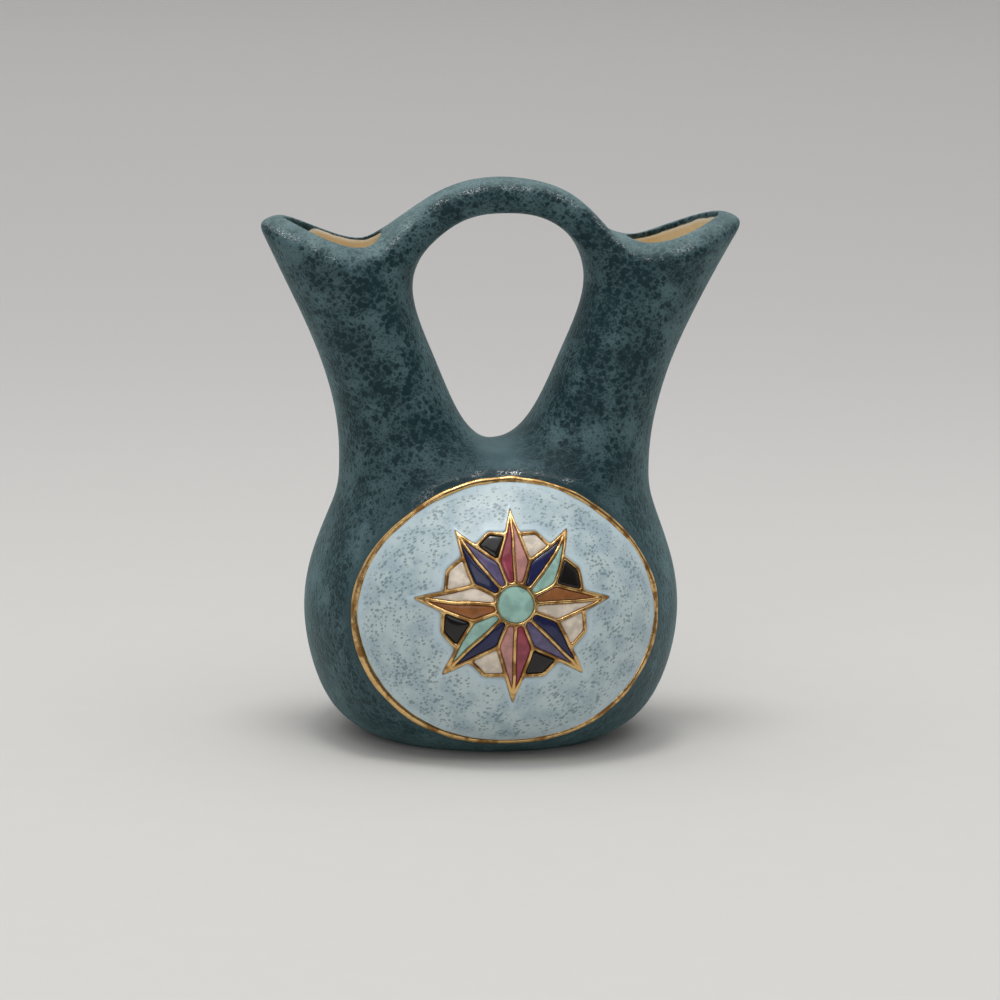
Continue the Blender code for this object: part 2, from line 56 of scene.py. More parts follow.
SHOULDER = Ring(0.054, 0.0938, 0.081)
COLLAR = Ring(0.0655, 0.0856, 0.063)
WAIST = Ring(0.0745, 0.084, 0.043)
ROOT = Ring(0.087, 0.0338, 0.0335, 0.0093)
NECK = Ring(0.104, 0.0306, 0.031, 0.0173)
THROAT = Ring(0.124, 0.034, 0.0318, 0.0231)
WAIST_LOBE_DEPTH = 0.0385
THROAT_LOBE_DEPTH = 0.0194
CROTCH_HEIGHT = 0.0803

# Mouths: each lip is a leaf, high at the pouring tip, low beside the handle, its top sloping outwards
Lip = namedtuple("Lip", "length depth handle_width lift spring_rise")
LEFT_LIP = Lip(length=0.0342, depth=0.0295, handle_width=0.0026, lift=-0.0006, spring_rise=0.015)
RIGHT_LIP = Lip(length=0.0354, depth=0.0305, handle_width=0.0056, lift=0.0006, spring_rise=0.0141)
LIP_INNER = 0.029
LIP_WIDTH = 0.0048
LIP_SLOPE = 0.0024
LIP_TIP_SLOPE = 0.0014
LIP_ROLL = 0.005
LIP_SWELL = 0.0011
LIP_LOW_RISE = 0.0103
LIP_SIDE_RISE = 0.0122
LIP_TIP_RISE = 0.0175
LIP_POINT = 1.2
LIP_HANDLE_POINT = 1.0

# Handle: a strap that arches from lip to lip, its rises above the throats
SPRING_TO_MOUTH = 0.0024
HANDLE_BEND_RISE = 0.0184
HANDLE_TOP_RISE = 0.0269
HANDLE_THICKNESS = 0.0083
HANDLE_DEPTH = 0.015
HANDLE_BEND_OUT = 0.0168
HANDLE_LEAN = 0.0012
HANDLE_BEND_TILT = radians(35.0)
HANDLE_ROUNDING = 0.66

# Clay walls and luted joints
WALL = 0.0045
FLOOR = Ring(WALL, 0.05, 0.04)
BASE_WIDTH = 0.044
BASE_DEPTH = 0.034
CROTCH_TO_SEAM = 0.0028
HANDLE_TO_THROAT = 0.0008
LUTE = THROAT.inner - HANDLE_TO_THROAT
SLAB_GAP = 0.0003
FOOT_CUT_HEIGHT = 0.04

# Medallion: laid out in true lengths round the belly, across and up from its centre
MEDALLION_WIDTH = 0.0902
MEDALLION_HEIGHT = 0.0816
MEDALLION_RISE = 0.008
RAY_START = 0.3
BORDER_WIDTH = 0.0016

# Star on the medallion
STAR_RAYS = 8
STAR_RISE = 0.003
STAR_RADIUS = 0.0262
STAR_WAIST_RADIUS = 0.0122
STAR_HEART_RADIUS = 0.0054
STAR_GAP_RADIUS = 0.0208
HALF_LINE = 0.0005

# Proportions of the drawing
LIP_SHOULDER_SHARE = 0.68
SADDLE_RISE_SHARE = 0.75
STAR_GAP_SHARE = 0.52

# Fineness
FITTING_ROUNDS = 60
HEART_POINTS = 48
OVAL_POINTS = 96
FORM_LEVELS = 4
CUT_MERGE = 1e-7
SHARP_ANGLE = radians(55.0)

# Unevenness of hand work
HAND_WOBBLE = 0.00025
HAND_WOBBLE_PER_METRE = 42.0
PAINT_WOBBLE = 0.00022
PAINT_WOBBLE_PER_METRE = 210.0
SWAY_STARTS = ((0.3, 0.7, 0.45), (17.6, 5.2, 9.55))

# Medallion's bed: a shallow dish with a low ridge over its top, its edges as shares of the oval
DISH_DEPTH = 0.0013
DISH_EDGE = (0.935, 0.972)
RIDGE_RISE = 0.0006
RIDGE_INNER = (0.985, 1.012)
RIDGE_OUTER = (1.03, 1.085)
RIDGE_FROM_UP = (0.012, 0.034)

# Where the glaze is plain, where painted shade lies along the medallion's edge with a darker band over
# the shoulder above it, and where painted light makes the tops pale
PLAIN_EDGE = (1.02, 1.09)
# A darker band over the shoulder above the medallion, beside the painted shade along its edge
DARK_BAND_EDGE = (1.08, 1.42)
DARK_BAND_FADE = 0.009
DARK_BAND_SHARE = 0.85
PLAIN_CROTCH_WIDTH = 0.0075
PLAIN_CROTCH_HEIGHT = 0.009
# Painted light: upward-facing tops high on the spouts and handle are painted paler
TOP_LIGHT_SLOPE = (0.3, 0.9)
TOP_LIGHT_FROM = (0.116, 0.13)

# Painted work
INLAY_FOOT = -0.0005
OUTLINE_STEP = 0.0006
OUTLINE_LEAST = 24
CORNER_ROUND = 0.0007
CORNER_SHARE = 0.4
CORNER_POINTS = 4
LINE_PROFILE = ((0.0, 0.0), (0.00012, 0.00042), (0.0003, 0.0006))
CELL_PROFILE = ((0.0, 0.00008), (0.07, 0.00026), (0.2, 0.00036), (0.5, 0.00042))
GROUND_BANDS = 18
GROUND_POINTS = 320
GROUND_MENISCUS = 0.00014
MENISCUS_POWER = 8
UNDERSIDE_STEP = 3
CLEAR_EDGE = (0.0008, 0.0044)
BORDER_POINTS = 360
BORDER_SINK = 0.00015
BORDER_BEAD = 0.0018
BEAD_POINTS = 14
BORDER_HEAVY = 0.45
BORDER_HEAVY_AT = 3.6
BORDER_HEAVY_SPAN = 0.7
BORDER_UNEVEN = 0.3
BORDER_PRESS_PER_METRE = 130.0
BORDER_WOBBLE_PER_METRE = PAINT_WOBBLE_PER_METRE / 2

# How far the teal runs over the lips into the mouths, farther at the left tip
LEFT_GLAZE_OVER = -0.0006
RIGHT_GLAZE_OVER = 0.0006
GLAZE_FADE = 0.0004
GLAZE_RAGGED = 0.001
TAN_EDGE_SPAN = (0.0003, 0.0014)
LEFT_TIP_GLAZE = 0.005
LEFT_TIP_SPAN = (0.0472, 0.055)

# Sponge marks: dabs and dots over clouds of blots, which follow a slow drift of the glaze
DRIFTS_PER_MARK = 0.2
DRIFT_SPAN = (0.35, 0.65)
DRIFT_LEAN = 0.8
BLOTS_PER_MARK = 0.45
BLOT_DETAIL = 4.0
GRIT_PER_MARK = 4.0
CLOUD_SPAN = (1.35, 1.7)
DABS_PER_MARK = 1.2
DAB_RAGGED = 0.5
DAB_SPAN = (0.39, 0.58)
DAB_SHARE = 0.65
DOTS_PER_MARK = 2.9
DOT_SPAN = (0.56, 0.74)
DOT_SHARE = 0.45

# Teal glaze. A sponge has marks per metre, cover and cloud, patches a count per metre and a span
TEAL_SPONGE = (430.0, 0.72, 0.42)
SPONGE_SHIFT = (3.6, 0.4, 1.7)
# The tops' painted light also thins the sponge marks there
TOP_LIGHT_BARE = 0.6
BARE_MARKS = 0.15
# Painted shade along the medallion's edge, and the darker band over the shoulder above it
MEDALLION_SHADE_TINT = 0.85
# Painted shade on the ridge over the medallion's top
RIDGE_SHADE = 0.8
TEAL_ROUGH = (0.55, 0.45)
RIDGE_SMOOTH = 0.25
TEAL_RELIEF = 0.0005
TEAL_BUMP = (0.25, 0.75)
MARK_RELIEF = 0.4
RAGGED_PER_METRE = 260.0
TAN_DRIFT = (140.0, 0.35, 0.65)
TAN_SMOOTH = 0.3

# Glints on the crust of the glaze where it turned over an edge and ran wet
TURNED_SPAN = (0.0, 0.35)
LEVEL_SPAN = (0.45, 0.95)
LEVEL_WET = 0.15
RUNS = (170.0, 0.44, 0.58)
WET_RANGE = (0.05, 1.0)
CRUST_PER_METRE = 1720.0
CRUST_SPAN = (0.46, 0.56)
CRUST_RELIEF = 0.0007

# Pale ground. A ripple has waves per metre, depth and strength
SKY_SPONGE = (900.0, 0.5, 0.16)
SKY_MARKS = 0.44
SKY_EDGE_TINT = 0.6
SKY_RIPPLE = (160.0, 0.0004, 0.3)
SPECKS_PER_METRE = 1150.0
SPECK_TURN = (0.0, -0.5, 0.0)
SPECK_STRETCH = (1.5, 1.0, 1.0)
SPECK_GRAIN_SPAN = (0.3, 0.7)
SPECK_RAGGED = 0.12
SPECK_CROWDS = (260.0, 3.0)
SPECK_CROWDING = 0.95
SPECK_SPAN = (0.09, 0.2)
SPECK_TINT = 0.65

# Gold and enamels. Wear and drift are patches, whose fourth value is their detail
GOLD_WEAR = (260.0, 0.44, 0.62, 4.0)
GOLD_ROUGH = (0.2, 0.38)
GOLD_RIPPLE = (700.0, 0.0003, 0.3)
ENAMEL_DEEP = 0.72
ENAMEL_DRIFT = (330.0, 0.36, 0.64, 3.0)
ENAMEL_RIPPLE = (240.0, 0.0003, 0.25)

# What is the same all over a finish
TEAL_SHINE = {
    "Specular IOR Level": 0.18, "Sheen Weight": 0.25, "Sheen Roughness": 0.4,
    "Sheen Tint": (0.42, 0.8, 0.84, 1.0), "Coat Roughness": 0.05, "Coat IOR": 2.0,
}
SKY_SHINE = {"Roughness": 0.36, "Coat Weight": 0.12, "Coat Roughness": 0.1}
ENAMEL_SHINE = {
    "Roughness": 0.16, "Specular IOR Level": 0.25, "Coat Weight": 0.4, "Coat Roughness": 0.04,
}
PAPER_SHINE = {"Roughness": 0.8}

# Colours, as linear light
TEAL_LIGHT = (0.08, 0.143, 0.157)
TEAL_SHADE = (0.05, 0.1, 0.114)
TEAL_DARK = (0.004, 0.024, 0.031)
# Painted light on the upward-facing tops
TEAL_TOP_LIGHT = (0.148, 0.226, 0.236)
# Painted shade along the medallion's edge, also the darker band over the shoulder above it
TEAL_SHADE_BY_MEDALLION = (0.03, 0.066, 0.077)
TAN_LIGHT = (0.96, 0.8, 0.54)
TAN_SHADE = (0.88, 0.69, 0.42)
TAN_EDGE = (0.97, 0.9, 0.76)
SKY_LIGHT = (0.51, 0.615, 0.63)
SKY_SHADE = (0.39, 0.505, 0.55)
SKY_EDGE = (0.54, 0.68, 0.76)
SKY_SPECK = (0.1, 0.165, 0.195)
GOLD_BRIGHT = (0.74, 0.48, 0.2)
GOLD_WORN = (0.3, 0.155, 0.05)
ENAMELS = {
    "black": (0.008, 0.006, 0.006),
    "navy": (0.016, 0.02, 0.08),
    "magenta": (0.32, 0.055, 0.085),
    "pink": (0.55, 0.27, 0.24),
    "cream": (0.78, 0.68, 0.56),
    "lilac": (0.13, 0.105, 0.21),
    "brown": (0.32, 0.12, 0.038),
    "turquoise": (0.34, 0.56, 0.49),
}
PAPER = (0.66, 0.65, 0.626)
# Painted shade on the paper behind the vase and painted light farther back; the fibres also take the
# shaded colour
PAPER_SHADE_AND_FIBRES = (0.572, 0.562, 0.552)
PAPER_BACK_LIT = (0.7, 0.69, 0.68)
ROOM = (0.37, 0.37, 0.37)
BACKDROP = (0.62, 0.61, 0.6)
DARK_ROOM = (0.1, 0.1, 0.1)
DARK_ROOM_SPAN = (-0.75, 0.1)

# Stage
FLOOR_RADIUS = 6.0
FLOOR_POINTS = 64
# Spans back from the vase for the paper's painted shade and painted light
PAPER_SHADE_SPAN = (0.0, 0.65)
PAPER_LIGHT_SPAN = (0.65, 1.9)
FIBRES_PER_METRE = 90.0
FIBRE_SPAN = (0.3, 0.7)
FIBRE_TINT = 0.06

# Lamps: place, aim, size and power
LAMPS = {
    "overhead": ((0.0, -0.08, 1.9), (0.0, 0.0, 0.05), 2.6, 20.5),
    "front_fill": ((-0.7, -1.8, 1.1), (0.0, 0.0, 0.07), 1.2, 5.0),
    "spark": ((-0.1, -0.15, 1.9), (0.0, 0.0, 0.05), 0.45, 8.0),
}

# Camera
CAMERA_AIM = (0.0018, 0.0, 0.0637)
CAMERA_DISTANCE = 1.3
CAMERA_UP = radians(11.7)
CAMERA_ROUND = radians(-8.5)
CAMERA_ROLL = radians(1.3)
CAMERA_LENS = 173.5
CAMERA_SENSOR = 36.0

# Enamels of the rays, left and right, and between them
RAY_COLOURS = (("magenta", "pink"), ("navy", "lilac"), ("brown", "cream"), ("navy", "turquoise"))
GAP_COLOURS = ("black", "cream")

# Rings of eight points, from the front round by the right, the back and the left
ANGLES = [radians(45.0 * step - 90.0) for step in range(8)]
CORNERS = (1, 3, 5, 7)
RIGHT_HALF = (0, 1, 2, 3, 4)
LEFT_HALF = (0, 7, 6, 5, 4)
AT_TIP = 2
AT_HANDLE = 6
BESIDE_HANDLE = (5, 7)
HANDLE_FACES = (5, 6)


def oval(ring):
    """Eight points round a ring of the belly, or of the right spout."""
    wide = ring.width / 2
    deep = ring.depth / 2
    middle = 0.0 if ring.inner is None else ring.inner + wide
    return [Vector((middle + cos(a) * wide, sin(a) * deep, ring.height)) for a in ANGLES]


def signed_power(value, power):
    return copysign(abs(value) ** power, value)


def lip_ring(lip, inset, handle_inset, heights):
    """The mouth's edge drawn in, by an inset of its own beside the handle, with each point's height."""
    middle = LIP_INNER + lip.length / 2
    ring = []
    for angle, height in zip(ANGLES, heights):
        on_tip_side = cos(angle) > 0
        power = LIP_POINT if on_tip_side else LIP_HANDLE_POINT
        reach = lip.length / 2 - (inset if on_tip_side else handle_inset)
        x = middle + signed_power(cos(angle), power) * reach
        y = signed_power(sin(angle), power) * (lip.depth / 2 - inset)
        ring.append(Vector((x, y, height)))
    return ring


def lip_rings(lip):
    """The outer edge and the crest of one lip."""
    base = THROAT.height + lip.lift
    tip = base + LIP_TIP_RISE
    side = base + LIP_SIDE_RISE
    low = base + LIP_LOW_RISE
    spring = THROAT.height + lip.spring_rise
    shoulder = side + (tip - side) * LIP_SHOULDER_SHARE
    crest = [side, shoulder, tip, shoulder, side, low, spring - SPRING_TO_MOUTH, low]
    edge = [height - LIP_SLOPE for height in crest]
    edge[AT_TIP] = tip - LIP_TIP_SLOPE
    edge[AT_HANDLE] = spring
    for k in BESIDE_HANDLE:
        edge[k] = low - LIP_SLOPE / 2
    return lip_ring(lip, 0.0, 0.0, edge), lip_ring(lip, LIP_WIDTH, lip.handle_width, crest)


def roll_ring(throat, edge):
    """A ring just under the lip's edge, swelled out so that the wall runs up to it without a hollow."""
    middle = sum(edge, Vector()) / len(edge)
    ring = []
    for low, high in zip(throat, edge):
        out = Vector((high.x - middle.x, high.y - middle.y, 0)).normalized()
        ring.append(high + (low - high).normalized() * LIP_ROLL + out * LIP_SWELL)
    return ring


def handle_section(out, height, tilt):
    """Eight points round the strap, from the front of its top round by its back."""
    normal = Vector((sin(tilt), 0, cos(tilt)))
    middle = Vector((out, 0, height))
    side = HANDLE_DEPTH / 2
    edge = side * HANDLE_ROUNDING
    half = HANDLE_THICKNESS / 2
    layout = [(1, -edge), (1, 0), (1, edge), (0, side), (-1, edge), (-1, 0), (-1, -edge), (0, -side)]
    return [middle + normal * half * up + Vector((0, y, 0)) for up, y in layout]


def mirrored(points):
    return [Vector((-p.x, p.y, p.z)) for p in points]


class Cage:
    """A closed cage of rings, whose vertices remember the point the smooth surface must reach."""

    def __init__(self):
        self.shape = bmesh.new()
        self.targets = []

    def ring(self, points):
        self.targets += points
        return [self.shape.verts.new(p) for p in points]

    def band(self, low, high, leave_out=(), inside=False):
        """Join two rings of equal count with quads, apart from the listed ones."""
        count = len(low)
        for k in range(count):
            after = (k + 1) % count
            if k not in leave_out:
                face = self.shape.faces.new((low[k], low[after], high[after], high[k]))
                face.material_index = int(inside)

    def close(self, ring, inside=False):
        self.shape.faces.new(ring).material_index = int(inside)


def limit_point(vert):
    """Where Catmull-Clark smoothing carries a vertex of a closed cage."""
    count = len(vert.link_edges)
    centres = {face: face.calc_center_median() for face in vert.link_faces}
    face_sum = sum(centres.values(), Vector())
    middle_sum = Vector()
    edge_sum = Vector()
    for edge in vert.link_edges:
        ends = edge.verts[0].co + edge.verts[1].co
        middle_sum += ends / 2
        edge_sum += (ends + sum((centres[face] for face in edge.link_faces), Vector())) / 4
    moved = (face_sum / count + 2 * middle_sum / count + (count - 3) * vert.co) / count
    return (count * count * moved + 4 * edge_sum + face_sum) / (count * (count + 5))


def fit(cage):
    """Swell the cage until its smooth surface passes through every target."""
    verts = list(cage.shape.verts)
    for _ in range(FITTING_ROUNDS):
        moves = [target - limit_point(vert) for vert, target in zip(verts, cage.targets)]
        for vert, move in zip(verts, moves):
            vert.co += move


def inward(rings):
    """Each ring's points moved into the clay by the wall, square to the surface through the rings."""
    cage = Cage()
    made = {name: cage.ring(points) for name, points in rings.items()}
    names = list(rings)
    for low, high in zip(names, names[1:]):
        cage.band(made[low], made[high])
    cage.shape.normal_update()
    moved = {name: [v.co - v.normal * WALL for v in verts] for name, verts in made.items()}
    cage.shape.free()
    return moved


def belly_rings():
    """The outer surface's rings from the foot to the waist."""
    waist = oval(WAIST)
    for k in CORNERS:
        waist[k].y = copysign(WAIST_LOBE_DEPTH / 2, waist[k].y)
    rings = {"foot": FOOT, "heel": HEEL, "belly": BELLY, "shoulder": SHOULDER, "collar": COLLAR}
    return {**{name: oval(ring) for name, ring in rings.items()}, "waist": waist}


def spout_rings(lip):
    """The outer surface's rings from a spout's root to its lip, and the lip's crest, on the right."""
    throat = oval(THROAT)
    for k in BESIDE_HANDLE:
        throat[k].y = copysign(THROAT_LOBE_DEPTH / 2, throat[k].y)
    edge, crest = lip_rings(lip)
    roll = roll_ring(throat, edge)
    return {"root": oval(ROOT), "neck": oval(NECK), "throat": throat, "roll": roll, "lip": edge}, crest


def saddle_points():
    """Back, crotch and front of the saddle between the spouts."""
    half = WAIST.depth / 4
    height = WAIST.height + (CROTCH_HEIGHT - WAIST.height) * SADDLE_RISE_SHARE
    return [Vector((0, half, height)), Vector((0, 0, CROTCH_HEIGHT)), Vector((0, -half, height))]


def add_spout(cage, on_left, waist, waist_points, inner_waist):
    """One spout's outside, lip and inside; returns the loop that the handle grows from."""
    turn = mirrored if on_left else list
    rings, crest = spout_rings(LEFT_LIP if on_left else RIGHT_LIP)
    names = list(rings)
    inside = inward({"waist": waist_points, **rings})
    inside["lip"] = crest

    made = {}
    low = waist
    for name in names:
        made[name] = cage.ring(turn(rings[name]))
        cage.band(low, made[name], HANDLE_FACES if name in ("roll", "lip") else ())
        low = made[name]
    for name in reversed(names):
        high = cage.ring(turn(inside[name]))
        cage.band(low, high, inside=name != "lip")
        low = high
    cage.band(low, inner_waist, inside=True)
    throat, roll, lip = made["throat"], made["roll"], made["lip"]
    return [lip[7], lip[6], lip[5], roll[5], throat[5], throat[6], throat[7], roll[7]]


def vessel_cage():
    """The whole clay form: belly, two spouts and handle, hollow inside and open at both lips."""
    belly = belly_rings()
    names = list(belly)
    belly_in = inward(belly)
    saddle = saddle_points()

    cage = Cage()
    under = cage.ring(oval(UNDER))
    cage.close(under[::-1])
    outside = {name: cage.ring(points) for name, points in belly.items()}
    cage.band(under, outside["foot"])
    for low, high in zip(names, names[1:]):
        cage.band(outside[low], outside[high])
    ridge = cage.ring(saddle)

    floor = cage.ring(oval(FLOOR))
    cage.close(floor, inside=True)
    inside = {name: cage.ring(belly_in[name]) for name in names[1:]}
    cage.band(inside["heel"], floor, inside=True)
    for low, high in zip(names[1:], names[2:]):
        cage.band(inside[high], inside[low], inside=True)
    inner_ridge = cage.ring([p - Vector((0, 0, WALL)) for p in saddle])

    waist_points = [belly["waist"][k] for k in RIGHT_HALF] + saddle
    handle_ends = []
    for on_left, half in ((False, RIGHT_HALF), (True, LEFT_HALF)):
        waist = [outside["waist"][k] for k in half] + ridge
        inner_waist = [inside["waist"][k] for k in half] + inner_ridge
        handle_ends.append(add_spout(cage, on_left, waist, waist_points, inner_waist))

    bend = handle_section(HANDLE_BEND_OUT, THROAT.height + HANDLE_BEND_RISE, HANDLE_BEND_TILT)
    apex = handle_section(0.0, THROAT.height + HANDLE_TOP_RISE - HANDLE_THICKNESS / 2, 0.0)
    lean = Vector((HANDLE_LEAN, 0, 0))
    sections = [[p + lean for p in points] for points in (bend, apex, mirrored(bend))]
    strap = [handle_ends[0], *[cage.ring(points) for points in sections], handle_ends[1]]
    for near, far in zip(strap, strap[1:]):
        cage.band(near, far)
    drop_unused(cage)
    fit(cage)
    bmesh.ops.recalc_face_normals(cage.shape, faces=cage.shape.faces)
    return cage.shape


def drop_unused(cage):
    """Forget ring points that the handle's root covers."""
    kept = []
    for vert, target in zip(list(cage.shape.verts), cage.targets):
        if vert.link_faces:
            kept.append(target)
        else:
            cage.shape.verts.remove(vert)
    cage.targets = kept


def smoothstep(low, high, value):
    share = min(1.0, max(0.0, (value - low) / (high - low)))
    return share * share * (3 - 2 * share)


def put(name, data):
    item = bpy.data.objects.new(name, data)
    bpy.context.scene.collection.objects.link(item)
    return item


def to_mesh(name, shape):
    """The shape as a mesh; the shape itself goes."""
    mesh = bpy.data.meshes.new(name)
    shape.to_mesh(mesh)
    shape.free()
    return mesh


def to_shape(mesh):
    """The mesh as a shape to work on, smooth all over; the mesh itself goes."""
    shape = bmesh.new()
    shape.from_mesh(mesh)
    bpy.data.meshes.remove(mesh)
    for face in shape.faces:
        face.smooth = True
    return shape


def put_shape(name, shape):
    return put(name, to_mesh(name, shape))


def baked(item):
    """The item's mesh with its modifiers applied; the item itself goes."""
    bpy.context.view_layer.update()
    depsgraph = bpy.context.evaluated_depsgraph_get()
    found = item.evaluated_get(depsgraph)
    mesh = bpy.data.meshes.new_from_object(found, preserve_all_data_layers=True, depsgraph=depsgraph)
    bpy.data.objects.remove(item)
    return mesh


def show(name, mesh, material, node):
    """Put a finished piece in the scene in place of its solid."""
    mesh.name = name
    mesh.materials.clear()
    mesh.materials.append(material)
    item = put(name, mesh)
    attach(item, "root")
    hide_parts(node)


# Node trees


class Nodes:
    """Adds nodes to one tree and hands back their outputs."""

    def __init__(self, tree):
        self.tree = tree

    def feed(self, socket, value):
        """Join a socket to another node's output, or set it to a value."""
        if isinstance(value, bpy.types.NodeSocket):
            self.tree.links.new(value, socket)
        else:
            socket.default_value = value

    def add(self, kind, inputs=(), **settings):
        """A new node's outputs, its settings made and its inputs fed."""
        made = self.tree.nodes.new(kind)
        for key, value in settings.items():
            setattr(made, key, value)
        for key, value in dict(inputs).items():
            self.feed(made.inputs[key], value)
        return made.outputs

    def sums(self, operation, first, second):
        return self.add("ShaderNodeMath", {0: first, 1: second}, operation=operation)[0]

    times = partialmethod(sums, "MULTIPLY")
    plus = partialmethod(sums, "ADD")
    minus = partialmethod(sums, "SUBTRACT")
    least = partialmethod(sums, "MINIMUM")
    most = partialmethod(sums, "MAXIMUM")

    def ramp(self, value, low, high, to_low=0.0, to_high=1.0):
        """A value eased from one range to another."""
        return self.add("ShaderNodeMapRange", {
            "Value": value, "From Min": low, "From Max": high, "To Min": to_low, "To Max": to_high,
        }, interpolation_type="SMOOTHSTEP")["Result"]

    def mixed(self, share, first, second):
        """A colour between two others, on the mixer's sockets for colours, which go by number."""
        ends = [c if isinstance(c, bpy.types.NodeSocket) else (*c, 1.0) for c in (first, second)]
        return self.add("ShaderNodeMix", {0: share, 6: ends[0], 7: ends[1]}, data_type="RGBA")[2]

    def speckle(self, vector, per_metre, detail=2.0):
        """Soft noise."""
        inputs = {"Vector": vector, "Scale": per_metre, "Detail": detail}
        return self.add("ShaderNodeTexNoise", inputs)["Fac"]

    def spots(self, vector, per_metre):
        """Distance from the middle of the nearest of many scattered spots."""
        return self.add("ShaderNodeTexVoronoi", {"Vector": vector, "Scale": per_metre})["Distance"]

    def bumped(self, height, depth, strength):
        inputs = {"Height": height, "Distance": depth, "Strength": strength}
        return self.add("ShaderNodeBump", inputs)["Normal"]

    def marked(self, name):
        """A value marked on the points of the piece."""
        return self.add("ShaderNodeAttribute", attribute_name=name)["Fac"]


def new_group(name, kind, inputs, outputs):
    """An empty node group with its sockets, given by name and kind."""
    group = bpy.data.node_groups.new(name, kind)
    for way, sockets in (("INPUT", inputs), ("OUTPUT", outputs)):
        for label, holds in sockets.items():
            group.interface.new_socket(label, in_out=way, socket_type="NodeSocket" + holds)
    return group


class Finish(Nodes):
    """The nodes of a new material."""

    def __init__(self, name):
        self.material = bpy.data.materials.new(name)
        self.material.use_nodes = True
        super().__init__(self.material.node_tree)
        self.where = self.add("ShaderNodeTexCoord")["Object"]

    def sponged(self, group, vector, per_metre, cover, cloud):
        return self.add("ShaderNodeGroup", {
            "Vector": vector, "Marks per metre": per_metre, "Cover": cover, "Cloud": cloud,
        }, node_tree=group)

    def patches(self, per_metre, faint, full, detail=2.0):
        return self.ramp(self.speckle(self.where, per_metre, detail), faint, full)

    def rippled(self, per_metre, depth, strength):
        return self.bumped(self.speckle(self.where, per_metre), depth, strength)

    def shaded(self, inputs):
        """The material, with its shader fed."""
        shader = self.tree.nodes["Principled BSDF"]
        for key, value in inputs.items():
            self.feed(shader.inputs[key], value)
        return self.material


# Clay


class BellyFront:
    """Carries points between the flat drawing, across and up, and the outside of the belly."""

    def __init__(self, shape):
        self.tree = BVHTree.FromBMesh(shape)
        self.middle = Vector((0, 0, BELLY.height))
        self.radius = BELLY.depth / 2

    def point(self, across, up, lift):
        turn = across / self.radius
        climb = (up + MEDALLION_RISE) / self.radius
        out = Vector((sin(turn) * cos(climb), -cos(turn) * cos(climb), sin(climb)))
        hit = self.tree.ray_cast(self.middle + out * RAY_START, -out)[0]
        return hit + out * lift

    def place(self, co):
        """Across, up and outward direction of a point on the belly."""
        out = (co - self.middle).normalized()
        across = atan2(out.x, -out.y) * self.radius
        up = asin(out.z) * self.radius - MEDALLION_RISE
        return across, up, out


def mark_inside(shape):
    """Mark each point with its distance past the teal's edge, above nought inside the vase only."""
    depth = shape.verts.layers.float.new("inside")
    sides = {vert: {face.material_index for face in vert.link_faces} for vert in shape.verts}
    crest = [vert for vert in shape.verts if len(sides[vert]) == 2]
    tree = KDTree(len(crest))
    for k, vert in enumerate(crest):
        tree.insert(vert.co, k)
    tree.balance()
    for vert in shape.verts:
        reach = tree.find(vert.co)[2]
        run_in = LEFT_GLAZE_OVER if vert.co.x < 0 else RIGHT_GLAZE_OVER
        run_in += LEFT_TIP_GLAZE * smoothstep(*LEFT_TIP_SPAN, -vert.co.x)
        vert[depth] = reach - run_in if sides[vert] == {1} else -reach


def fine_form():
    """The whole clay form as a fine shape with the unevenness of hand work."""
    item = put_shape("vessel_form", vessel_cage())
    step = item.modifiers.new("Smoothing", "SUBSURF")
    step.levels = FORM_LEVELS
    step.render_levels = FORM_LEVELS
    shape = to_shape(baked(item))
    mark_inside(shape)
    for face in shape.faces:
        face.material_index = 0
    shape.normal_update()
    for vert in shape.verts:
        vert.co += vert.normal * noise.noise(vert.co * HAND_WOBBLE_PER_METRE) * HAND_WOBBLE
    return shape


def bed_medallion(shape, front):
    """Sink a dish for the medallion, raise the ridge over it, and mark where the glaze is plain, where
    painted light falls on the tops and where painted shade lies by the medallion.
    """
    layers = shape.verts.layers.float
    plain, ridge, pale, deep = [layers.new(name) for name in ("plain", "ridge", "pale", "deep")]
    for vert in shape.verts:
        if vert.normal.dot(vert.co - front.middle) < 0:
            continue
        # Painted light: upward-facing surfaces high up are marked to be painted paler
        vert[pale] = smoothstep(*TOP_LIGHT_SLOPE, vert.normal.z) * smoothstep(*TOP_LIGHT_FROM, vert.co.z)
        low = (vert.co.z - CROTCH_HEIGHT) / PLAIN_CROTCH_HEIGHT
        near = vert.co.x / PLAIN_CROTCH_WIDTH
        vert[plain] = exp(-low * low - near * near)
        if vert.co.y > 0 or vert.co.z > CROTCH_HEIGHT + DARK_BAND_FADE:
            continue
        across, up, out = front.place(vert.co)
        share = hypot(across / MEDALLION_WIDTH, up / MEDALLION_HEIGHT) * 2
        beside = 1 - smoothstep(*PLAIN_EDGE, share)
        above = smoothstep(*RIDGE_FROM_UP, up) * (1 - smoothstep(*DARK_BAND_EDGE, share))
        above *= 1 - smoothstep(CROTCH_HEIGHT, CROTCH_HEIGHT + DARK_BAND_FADE, vert.co.z)
        # Painted shade along the medallion's edge, and a darker band over the shoulder above it
        vert[deep] = max(beside, above * (1 - vert[plain]) * DARK_BAND_SHARE)
        vert[plain] = max(vert[plain], beside)
        bank = smoothstep(*RIDGE_INNER, share) * (1 - smoothstep(*RIDGE_OUTER, share))
        vert[ridge] = bank * smoothstep(*RIDGE_FROM_UP, up)
        sunk = 1 - smoothstep(*DISH_EDGE, share)
        vert.co += out * (vert[ridge] * RIDGE_RISE - sunk * DISH_DEPTH)


def close_cut(shape, found, normal):
    """Fill the opening that a plane cut left."""
    edges = [item for item in found["geom_cut"] if isinstance(item, bmesh.types.BMEdge)]
    bmesh.ops.triangle_fill(shape, use_beauty=True, edges=edges, normal=normal)


